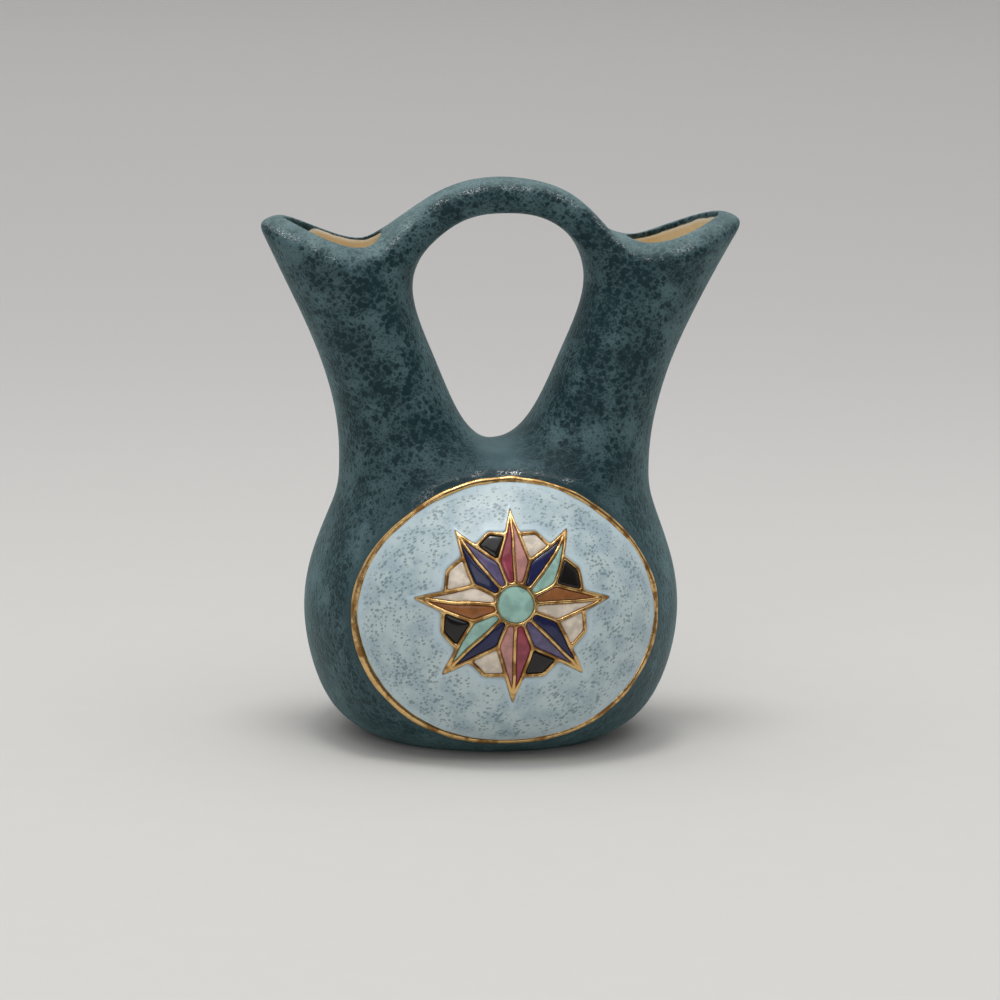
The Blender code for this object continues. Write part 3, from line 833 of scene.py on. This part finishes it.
def trim(shape, point, normal):
    """Cut a closed shape by a plane, drop what lies in front of it and close the cut."""
    geom = shape.verts[:] + shape.edges[:] + shape.faces[:]
    found = bmesh.ops.bisect_plane(
        shape, geom=geom, dist=CUT_MERGE, plane_co=point, plane_no=normal, clear_outer=True
    )
    close_cut(shape, found, normal)


def in_strap(face, across, reach):
    """Whether a face lies above the throats and within reach of a place across the vase."""
    middle = face.calc_center_median()
    return middle.z > THROAT.height and abs(middle.x - across) < reach


def take_off_handle(shape):
    """Cut the handle off both spouts and close the luted faces."""
    cuts = []
    for side in (-1, 1):
        near = [face for face in shape.faces if in_strap(face, side * LUTE, HANDLE_THICKNESS)]
        geom = {item for face in near for item in (face, *face.edges, *face.verts)}
        found = bmesh.ops.bisect_plane(
            shape, geom=list(geom), dist=CUT_MERGE, plane_co=(side * LUTE, 0, 0), plane_no=(-side, 0, 0)
        )
        cuts.append((found, (-side, 0, 0)))
    strap = [face for face in shape.faces if in_strap(face, 0.0, LUTE)]
    bmesh.ops.delete(shape, geom=strap, context="FACES")
    for found, normal in cuts:
        close_cut(shape, found, normal)


def finished(shape):
    """A clay piece's mesh, smooth apart from its luted faces."""
    bmesh.ops.recalc_face_normals(shape, faces=shape.faces)
    mesh = to_mesh("clay", shape)
    mesh.set_sharp_from_angle(angle=SHARP_ANGLE)
    return mesh


def part_clay(clay, glaze):
    """The five clay pieces, parted from one form."""
    seam = Vector((0, 0, CROTCH_HEIGHT + CROTCH_TO_SEAM))

    handle = clay.copy()
    trim(handle, (LUTE, 0, 0), (1, 0, 0))
    trim(handle, (-LUTE, 0, 0), (-1, 0, 0))
    trim(handle, (0, 0, THROAT.height), (0, 0, -1))
    show("strap_handle", finished(handle), glaze, "handle")

    upper = clay.copy()
    trim(upper, seam, (0, 0, -1))
    take_off_handle(upper)
    for side, name in ((-1, "left_spout"), (1, "right_spout")):
        spout = upper.copy()
        other = [face for face in spout.faces if face.calc_center_median().x * side < 0]
        bmesh.ops.delete(spout, geom=other, context="FACES")
        show("glazed_" + name, finished(spout), glaze, name)
    upper.free()

    belly = clay.copy()
    trim(belly, seam, (0, 0, 1))
    trim(belly, (0, 0, 0), (0, 0, -1))
    slab_mesh = cut_foot(belly.copy(), "INTERSECT", 0.0)
    belly_mesh = cut_foot(belly, "DIFFERENCE", SLAB_GAP)
    show("glazed_belly", belly_mesh, glaze, "belly")
    show("foot_slab", slab_mesh, glaze, "base_slab")


def cut_foot(shape, operation, gap):
    """The belly without its foot slab, or the slab alone."""
    round_cut = bmesh.new()
    bmesh.ops.create_cone(
        round_cut, cap_ends=True, segments=OVAL_POINTS, radius1=0.5, radius2=0.5, depth=FOOT_CUT_HEIGHT
    )
    for vert in round_cut.verts:
        vert.co.x *= BASE_WIDTH + 2 * gap
        vert.co.y *= BASE_DEPTH + 2 * gap
    cutter = put_shape("foot_cut", round_cut)
    item = put_shape("foot_parting", shape)
    step = item.modifiers.new("Foot", "BOOLEAN")
    step.operation = operation
    step.object = cutter
    step.solver = "EXACT"
    mesh = baked(item)
    bpy.data.objects.remove(cutter)
    return finished(to_shape(mesh))


# Drawing on the medallion


def inset_outline(points, distance):
    """An anticlockwise outline with each edge moved inwards, its corners kept mitred."""
    moved = []
    count = len(points)
    for k in range(count):
        before, here, after = points[k - 1], points[k], points[(k + 1) % count]
        first = (here - before).normalized()
        second = (after - here).normalized()
        first_in = Vector((-first.y, first.x))
        second_in = Vector((-second.y, second.x))
        share = distance / (1 + first_in.dot(second_in))
        moved.append(here + (first_in + second_in) * share)
    return moved


def star_point(radius, angle):
    """A point of the star, which sits a little above the medallion's centre."""
    return Vector((cos(angle), sin(angle))) * radius + Vector((0, STAR_RISE))


def star_ray(ray):
    """Direction and tip of a ray, and the outline of the cell between it and the next ray."""
    pitch = 2 * pi / STAR_RAYS
    axis = pi / 2 + ray * pitch
    tip = star_point(STAR_RADIUS, axis)
    waist = star_point(STAR_WAIST_RADIUS, axis + pitch / 2)
    next_tip = star_point(STAR_RADIUS, axis + pitch)
    gap = [
        waist,
        waist.lerp(tip, STAR_GAP_SHARE),
        star_point(STAR_GAP_RADIUS, axis + pitch / 2),
        waist.lerp(next_tip, STAR_GAP_SHARE),
    ]
    return axis, tip, gap


def star_cells():
    """The star's cells: name, colour and anticlockwise outline through the middles of the lines."""
    cells = []
    half_pitch = pi / STAR_RAYS
    for ray in range(STAR_RAYS):
        axis, tip, gap = star_ray(ray)
        heart = star_point(STAR_HEART_RADIUS, axis)
        left, right = RAY_COLOURS[ray % len(RAY_COLOURS)]
        for side, turn, colour in (("left", half_pitch, left), ("right", -half_pitch, right)):
            waist = star_point(STAR_WAIST_RADIUS, axis + turn)
            heart_beside = star_point(STAR_HEART_RADIUS, axis + turn)
            outline = [heart, tip, waist, heart_beside]
            cells.append((f"ray_{ray + 1}_{side}", colour, outline if turn > 0 else outline[::-1]))
        cells.append((f"ray_gap_{ray + 1}", GAP_COLOURS[ray % len(GAP_COLOURS)], gap))
    return cells


def star_edge():
    """The star's own edge, through the ray tips and round the cells between them."""
    points = []
    for ray in range(STAR_RAYS):
        tip, gap = star_ray(ray)[1:]
        points.append(tip)
        points += gap[1:]
    return points


def heart_outline():
    return [star_point(STAR_HEART_RADIUS, 2 * pi * k / HEART_POINTS) for k in range(HEART_POINTS)]


def rounded(points):
    """An outline with its corners rounded as a loaded brush leaves them."""
    smooth = []
    for k, here in enumerate(points):
        ways = (points[k - 1] - here, points[(k + 1) % len(points)] - here)
        reaches = [min(CORNER_ROUND, way.length * CORNER_SHARE) for way in ways]
        start, end = [here + way.normalized() * reach for way, reach in zip(ways, reaches)]
        for step in range(CORNER_POINTS + 1):
            share = step / CORNER_POINTS
            smooth.append(start.lerp(here, share).lerp(here.lerp(end, share), share))
    return smooth


def length_round(points):
    return sum((points[k] - points[k - 1]).length for k in range(len(points)))


def evenly(points, count):
    """The outline again, as a count of points spaced evenly round it from its first."""
    step = length_round(points) / count
    spaced = []
    walked = 0.0
    for k, here in enumerate(points):
        after = points[(k + 1) % len(points)]
        reach = (after - here).length
        while len(spaced) < count and len(spaced) * step <= walked + reach:
            spaced.append(here.lerp(after, (len(spaced) * step - walked) / reach))
        walked += reach
    return spaced


def outline_count(points):
    return max(OUTLINE_LEAST, ceil(length_round(points) / OUTLINE_STEP))


def brushed(points, inset, count):
    return evenly(rounded(inset_outline(points, inset)), count)


def join_rings(shape, rings):
    """Bands of quads between rings of equal count."""
    for low, high in zip(rings, rings[1:]):
        for k in range(len(low)):
            shape.faces.new((low[k - 1], low[k], high[k], high[k - 1]))


def ring_verts(shape, points, lift):
    return [shape.verts.new((p.x, p.y, lift)) for p in points]


def ring_edges(shape, ring):
    return [shape.edges.get((ring[k - 1], ring[k])) for k in range(len(ring))]


def swayed(flat, per_metre):
    """A drawn point moved by the hand's unevenness, the same in every run."""
    across, up = [noise.noise(flat * per_metre + Vector(start)) * PAINT_WOBBLE for start in SWAY_STARTS]
    return flat + Vector((across, up, 0))


def drape(shape, front):
    """Carry a flat drawing, with its lifts, on to the belly with a hand's unevenness."""
    for vert in shape.verts:
        at = swayed(Vector((vert.co.x, vert.co.y, 0)), PAINT_WOBBLE_PER_METRE)
        vert.co = front.point(at.x, at.y, vert.co.z)
    for face in shape.faces:
        face.smooth = True
    bmesh.ops.recalc_face_normals(shape, faces=shape.faces)
    return to_mesh("drawing", shape)


def line_net(front):
    """The gold outlines as one raised net with rounded shoulders."""
    heart = heart_outline()
    cells = [points for _, _, points in star_cells()]
    loops = [(star_edge(), -HALF_LINE, 1)] + [(points, HALF_LINE, -1) for points in [*cells, heart]]
    shape = bmesh.new()
    top = []
    foot = []
    for points, inset, turn in loops:
        count = outline_count(inset_outline(points, inset))
        rings = [ring_verts(shape, brushed(points, inset, count), INLAY_FOOT)]
        for step_in, lift in LINE_PROFILE:
            rings.append(ring_verts(shape, brushed(points, inset + turn * step_in, count), lift))
        join_rings(shape, rings)
        foot += ring_edges(shape, rings[0])
        top += ring_edges(shape, rings[-1])
    for edges in (top, foot):
        bmesh.ops.triangle_fill(shape, use_beauty=True, edges=edges, normal=(0, 0, 1))
    return drape(shape, front)


def enamel_bead(front, points):
    """One cell filled with enamel that stands in a low dome."""
    outline = brushed(points, HALF_LINE, outline_count(inset_outline(points, HALF_LINE)))
    middle = sum(outline, Vector((0, 0))) / len(outline)
    shape = bmesh.new()
    rings = [ring_verts(shape, outline, INLAY_FOOT)]
    for share, lift in CELL_PROFILE:
        rings.append(ring_verts(shape, [p.lerp(middle, share) for p in outline], lift))
    join_rings(shape, rings)
    crown = shape.verts.new((middle.x, middle.y, CELL_PROFILE[-1][1]))
    below = shape.verts.new((middle.x, middle.y, INLAY_FOOT))
    for ring, tip in ((rings[-1], crown), (rings[0], below)):
        for k in range(len(ring)):
            shape.faces.new((ring[k - 1], ring[k], tip))
    return drape(shape, front)


def rim_point(toward_point):
    """Where the ground's rim, an oval, lies past a point, seen from the star's centre."""
    wide = MEDALLION_WIDTH / 2 - BORDER_WIDTH / 2
    high = MEDALLION_HEIGHT / 2 - BORDER_WIDTH / 2
    start = Vector((0, STAR_RISE))
    way = (toward_point - start).normalized()
    a = (way.x / wide) ** 2 + (way.y / high) ** 2
    b = 2 * start.y * way.y / high ** 2
    c = (start.y / high) ** 2 - 1
    return start + way * ((sqrt(b * b - 4 * a * c) - b) / (2 * a))


def ground_plate(front):
    """The pale ground from the border to the star, its glaze drawn up a little against both."""
    pocket = brushed(star_edge(), -HALF_LINE, GROUND_POINTS)
    rim = [rim_point(p) for p in pocket]
    shape = bmesh.new()
    clear = shape.verts.layers.float.new("clear")
    rings = [ring_verts(shape, rim, INLAY_FOOT)]
    for step in range(GROUND_BANDS + 1):
        share = step / GROUND_BANDS
        lift = GROUND_MENISCUS * (2 * share - 1) ** MENISCUS_POWER
        ring = ring_verts(shape, [a.lerp(b, share) for a, b in zip(rim, pocket)], lift)
        for vert, a, b in zip(ring, rim, pocket):
            to_edge = min(share, 1 - share) * (a - b).length
            vert[clear] = 1 - smoothstep(*CLEAR_EDGE, to_edge)
        rings.append(ring)
    for step in range(GROUND_BANDS, 0, -UNDERSIDE_STEP):
        share = step / GROUND_BANDS
        rings.append(ring_verts(shape, [a.lerp(b, share) for a, b in zip(rim, pocket)], INLAY_FOOT))
    rings.append(rings[0])
    join_rings(shape, rings)
    return drape(shape, front)


def border_path(front):
    """The border's middle line on the belly, with the brush's pressure at each point."""
    shape = bmesh.new()
    press = shape.verts.layers.float.new("press")
    verts = []
    for step in range(BORDER_POINTS):
        angle = 2 * pi * step / BORDER_POINTS
        across = cos(angle) * (MEDALLION_WIDTH - BORDER_WIDTH) / 2
        up = sin(angle) * (MEDALLION_HEIGHT - BORDER_WIDTH) / 2
        flat = Vector((across, up, 0))
        at = swayed(flat, BORDER_WOBBLE_PER_METRE)
        vert = shape.verts.new(front.point(at.x, at.y, -BORDER_SINK))
        heavy = exp(-((angle - BORDER_HEAVY_AT) / BORDER_HEAVY_SPAN) ** 2) * BORDER_HEAVY
        vert[press] = 1 + heavy + noise.noise(flat * BORDER_PRESS_PER_METRE) * BORDER_UNEVEN
        verts.append(vert)
    for k in range(BORDER_POINTS):
        shape.edges.new((verts[k - 1], verts[k]))
    return put_shape("border_path", shape)


def raised_line(front, material):
    """The gold border: a round bead swept along its path, as thick as the brush was pressed."""
    takes = {"Path": "Geometry", "Bead width": "Float", "Finish": "Material"}
    group = new_group("raised_line", "GeometryNodeTree", takes, {"Bead": "Geometry"})
    nodes = Nodes(group)
    given = nodes.add("NodeGroupInput")
    curve = nodes.add("GeometryNodeMeshToCurve", {"Mesh": given["Path"]})["Curve"]
    marked = nodes.add("GeometryNodeInputNamedAttribute", {"Name": "press"}, data_type="FLOAT")
    ring = {"Resolution": BEAD_POINTS, "Radius": 0.5}
    profile = nodes.add("GeometryNodeCurvePrimitiveCircle", ring)["Curve"]
    swept = nodes.add("GeometryNodeCurveToMesh", {
        "Curve": curve,
        "Profile Curve": profile,
        "Scale": nodes.times(marked["Attribute"], given["Bead width"]),
    })["Mesh"]
    smooth = nodes.add("GeometryNodeSetShadeSmooth", {"Geometry": swept})["Geometry"]
    real = nodes.add("GeometryNodeRealizeInstances", {"Geometry": smooth})["Geometry"]
    painted = nodes.add("GeometryNodeSetMaterial", {"Geometry": real, "Material": given["Finish"]})
    nodes.add("NodeGroupOutput", {"Bead": painted["Geometry"]})

    item = border_path(front)
    step = item.modifiers.new("Raised line", "NODES")
    step.node_group = group
    sockets = group.interface.items_tree
    step[sockets["Bead width"].identifier] = BORDER_BEAD
    step[sockets["Finish"].identifier] = material
    return baked(item)


def paint_medallion(front, finishes):
    """The ground, the gold and the enamels."""
    show("pale_ground", ground_plate(front), finishes["sky_glaze"], "medallion_ground")
    gold = finishes["gold_lustre"]
    show("gold_rim", raised_line(front, gold), gold, "gold_border")
    show("gold_outlines", line_net(front), gold, "star_lines")
    for name, colour, points in star_cells():
        slot = colour + "_enamel"
        show("enamel_" + name, enamel_bead(front, points), finishes[slot], name)
    heart = enamel_bead(front, heart_outline())
    show("enamel_heart", heart, finishes["turquoise_enamel"], "star_heart")


# Finishes


def sponge_group():
    """Marks left by a glaze sponge: where they lie, how the glaze drifts, and its fine grain."""
    takes = {"Vector": "Vector", "Marks per metre": "Float", "Cover": "Float", "Cloud": "Float"}
    gives = {"Marks": "Float", "Drift": "Float", "Grain": "Float"}
    group = new_group("sponge_marks", "ShaderNodeTree", takes, gives)
    pot = Nodes(group)
    given = pot.add("NodeGroupInput")
    vector = given["Vector"]
    per_metre = given["Marks per metre"]
    drift = pot.speckle(vector, pot.times(per_metre, DRIFTS_PER_MARK))
    blots = pot.speckle(vector, pot.times(per_metre, BLOTS_PER_MARK), BLOT_DETAIL)
    grit = pot.speckle(vector, pot.times(per_metre, GRIT_PER_MARK))
    lean = pot.plus(pot.times(drift, DRIFT_LEAN), given["Cover"])
    cloud = pot.ramp(pot.plus(blots, lean), *CLOUD_SPAN)
    dabs = pot.spots(vector, pot.times(per_metre, DABS_PER_MARK))
    dabs = pot.plus(dabs, pot.times(grit, DAB_RAGGED))
    dabs = pot.ramp(pot.minus(lean, dabs), *DAB_SPAN)
    dots = pot.spots(vector, pot.times(per_metre, DOTS_PER_MARK))
    dots = pot.ramp(pot.minus(lean, dots), *DOT_SPAN)
    marks = pot.plus(pot.times(cloud, given["Cloud"]), pot.times(dots, DOT_SHARE))
    marks = pot.plus(marks, pot.times(dabs, DAB_SHARE))
    marks = pot.least(marks, 1.0)
    pot.add("NodeGroupOutput", {"Marks": marks, "Drift": drift, "Grain": grit})
    return group


def teal_glaze(group):
    """Sponged satin glaze outside: plain near the medallion, with painted shade along its edge and on
    its ridge, a darker band above it and painted light on the tops; clear tan glaze inside.
    """
    pot = Finish("sponged_teal")
    where = pot.where
    laid = pot.add("ShaderNodeMapping", {"Vector": where, "Location": SPONGE_SHIFT})["Vector"]
    sponge = pot.sponged(group, laid, *TEAL_SPONGE)
    plain = pot.marked("plain")
    pale = pot.marked("pale")
    ridge = pot.marked("ridge")
    # Fewer marks where the glaze is plain and on the tops with painted light
    bare = pot.most(plain, pot.times(pale, TOP_LIGHT_BARE))
    marks = pot.times(sponge["Marks"], pot.ramp(bare, 0.0, 1.0, 1.0, BARE_MARKS))
    light = pot.mixed(pot.ramp(sponge["Drift"], *DRIFT_SPAN), TEAL_LIGHT, TEAL_SHADE)
    # Painted light: the upward-facing tops are painted paler
    light = pot.mixed(pale, light, TEAL_TOP_LIGHT)
    # Painted shade along the medallion's edge, and a darker band over the shoulder above it
    light = pot.mixed(pot.times(pot.marked("deep"), MEDALLION_SHADE_TINT), light, TEAL_SHADE_BY_MEDALLION)
    teal = pot.mixed(marks, light, TEAL_DARK)
    # Painted shade: the ridge over the medallion's top is darkened as the ledge's shade
    teal = pot.mixed(pot.times(ridge, RIDGE_SHADE), teal, TEAL_DARK)

    ragged = pot.times(pot.speckle(where, RAGGED_PER_METRE), GLAZE_RAGGED)
    depth = pot.minus(pot.marked("inside"), ragged)
    within = pot.ramp(depth, 0.0, GLAZE_FADE)
    tan = pot.mixed(pot.patches(*TAN_DRIFT), TAN_LIGHT, TAN_SHADE)
    tan = pot.mixed(pot.ramp(depth, *TAN_EDGE_SPAN), TAN_EDGE, tan)

    rough = pot.ramp(marks, 0.0, 1.0, *TEAL_ROUGH)
    rough = pot.minus(rough, pot.times(ridge, RIDGE_SMOOTH))
    rough = pot.minus(rough, pot.times(within, TAN_SMOOTH))
    relief = pot.plus(sponge["Grain"], pot.times(sponge["Marks"], MARK_RELIEF))
    strength = pot.ramp(pot.minus(1.0, plain), 0.0, 1.0, *TEAL_BUMP)
    strength = pot.times(strength, pot.minus(1.0, within))
    turned = pot.ramp(pale, *TURNED_SPAN)
    turned = pot.times(turned, pot.ramp(pale, *LEVEL_SPAN, 1.0, LEVEL_WET))
    wet = pot.times(pot.most(turned, ridge), pot.patches(*RUNS))
    wet = pot.ramp(wet, 0.0, 1.0, *WET_RANGE)
    crust = pot.speckle(where, CRUST_PER_METRE)
    return pot.shaded({
        "Base Color": pot.mixed(within, teal, tan),
        "Roughness": rough,
        "Coat Weight": pot.times(pot.ramp(crust, *CRUST_SPAN), wet),
        "Normal": pot.bumped(relief, TEAL_RELIEF, strength),
        "Coat Normal": pot.bumped(crust, CRUST_RELIEF, strength),
        **TEAL_SHINE,
    })


def sky_glaze(group):
    """Glossy pale blue with fine dark specks that thin out beside the gold."""
    pot = Finish("pale_sky")
    where = pot.where
    sponge = pot.sponged(group, where, *SKY_SPONGE)
    clear = pot.marked("clear")
    drawn = pot.add("ShaderNodeMapping", {
        "Vector": where, "Rotation": SPECK_TURN, "Scale": SPECK_STRETCH,
    }, vector_type="TEXTURE")["Vector"]
    dotted = pot.ramp(sponge["Grain"], *SPECK_GRAIN_SPAN, -SPECK_RAGGED, SPECK_RAGGED)
    dotted = pot.plus(pot.spots(drawn, SPECKS_PER_METRE), dotted)
    crowd = pot.times(pot.speckle(where, *SPECK_CROWDS), SPECK_CROWDING)
    specks = pot.ramp(pot.minus(crowd, dotted), *SPECK_SPAN)
    marks = pot.most(specks, pot.times(sponge["Marks"], SKY_MARKS))
    marks = pot.times(marks, pot.minus(1.0, clear))
    pale = pot.mixed(pot.ramp(sponge["Drift"], *DRIFT_SPAN), SKY_LIGHT, SKY_SHADE)
    pale = pot.mixed(pot.times(clear, SKY_EDGE_TINT), pale, SKY_EDGE)
    return pot.shaded({
        "Base Color": pot.mixed(pot.times(marks, SPECK_TINT), pale, SKY_SPECK),
        "Normal": pot.rippled(*SKY_RIPPLE),
        **SKY_SHINE,
    })


def gold_lustre():
    """Thin fired gold, worn brown where the brush ran dry."""
    pot = Finish("fired_gold")
    worn = pot.patches(*GOLD_WEAR)
    return pot.shaded({
        "Base Color": pot.mixed(worn, GOLD_BRIGHT, GOLD_WORN),
        "Metallic": 1.0,
        "Roughness": pot.ramp(worn, 0.0, 1.0, *GOLD_ROUGH),
        "Normal": pot.rippled(*GOLD_RIPPLE),
    })


def enamel(slot, colour):
    """Glossy enamel, a little uneven in depth."""
    pot = Finish("gloss_" + slot)
    deep = tuple(part * ENAMEL_DEEP for part in colour)
    return pot.shaded({
        "Base Color": pot.mixed(pot.patches(*ENAMEL_DRIFT), colour, deep),
        "Normal": pot.rippled(*ENAMEL_RIPPLE),
        **ENAMEL_SHINE,
    })


def make_finishes():
    group = sponge_group()
    finishes = {
        "teal_glaze": teal_glaze(group),
        "sky_glaze": sky_glaze(group),
        "gold_lustre": gold_lustre(),
    }
    for name, colour in ENAMELS.items():
        slot = name + "_enamel"
        finishes[slot] = enamel(slot, colour)
    return finishes


# Stage


def soft_light(name, place, aim, size, power):
    lamp = bpy.data.lights.new(name, "AREA")
    lamp.shape = "DISK"
    lamp.size = size
    lamp.energy = power
    item = put(name, lamp)
    item.location = place
    item.rotation_euler = (Vector(aim) - Vector(place)).to_track_quat("-Z", "Y").to_euler()


def lay_paper():
    """Pale paper with painted shade behind the vase and painted light again farther back."""
    shape = bmesh.new()
    bmesh.ops.create_circle(shape, cap_ends=True, segments=FLOOR_POINTS, radius=FLOOR_RADIUS)
    floor = put_shape("floor", shape)
    pot = Finish("pale_paper")
    back = pot.add("ShaderNodeSeparateXYZ", {0: pot.where})["Y"]
    # Painted shade behind the vase, then painted light farther back
    paper = pot.mixed(pot.ramp(back, *PAPER_SHADE_SPAN), PAPER, PAPER_SHADE_AND_FIBRES)
    paper = pot.mixed(pot.ramp(back, *PAPER_LIGHT_SPAN), paper, PAPER_BACK_LIT)
    fibre = pot.ramp(pot.speckle(pot.where, FIBRES_PER_METRE), *FIBRE_SPAN, 0.0, FIBRE_TINT)
    paper = pot.mixed(fibre, paper, PAPER_SHADE_AND_FIBRES)
    floor.data.materials.append(pot.shaded({"Base Color": paper, **PAPER_SHINE}))


def light_room():
    """A grey room, pale behind the vase and dark where the glaze reflects the camera's side."""
    for name, lamp in LAMPS.items():
        soft_light(name, *lamp)
    world = bpy.data.worlds.new("studio")
    world.use_nodes = True
    air = Nodes(world.node_tree)
    room = air.tree.nodes["Background"]
    room.inputs["Color"].default_value = (*ROOM, 1.0)
    path = air.add("ShaderNodeLightPath")
    way = air.add("ShaderNodeTexCoord")["Generated"]
    behind = air.ramp(air.add("ShaderNodeSeparateXYZ", {0: way})["Y"], *DARK_ROOM_SPAN)
    behind = air.most(behind, path["Is Camera Ray"])
    seen = air.add("ShaderNodeBackground", {"Color": air.mixed(behind, DARK_ROOM, BACKDROP)})[0]
    bright = air.most(path["Is Camera Ray"], path["Is Glossy Ray"])
    blend = air.add("ShaderNodeMixShader", {0: bright, 1: room.outputs[0], 2: seen})[0]
    air.feed(air.tree.nodes["World Output"].inputs["Surface"], blend)
    bpy.context.scene.world = world
    bpy.context.scene.view_settings.view_transform = "Standard"


def place_camera():
    lens = bpy.data.cameras.new("camera")
    lens.lens = CAMERA_LENS
    lens.sensor_width = CAMERA_SENSOR
    camera = put("camera", lens)
    flat = cos(CAMERA_UP)
    way = Vector((sin(CAMERA_ROUND) * flat, -cos(CAMERA_ROUND) * flat, sin(CAMERA_UP)))
    camera.location = Vector(CAMERA_AIM) + way * CAMERA_DISTANCE
    look = way.to_track_quat("Z", "Y").to_matrix().to_4x4()
    camera.rotation_euler = (look @ Matrix.Rotation(CAMERA_ROLL, 4, "Z")).to_euler()
    bpy.context.scene.camera = camera


def main():
    finishes = make_finishes()
    clay = fine_form()
    front = BellyFront(clay)
    bed_medallion(clay, front)
    part_clay(clay, finishes["teal_glaze"])
    clay.free()
    paint_medallion(front, finishes)
    lay_paper()
    light_room()
    place_camera()


main()
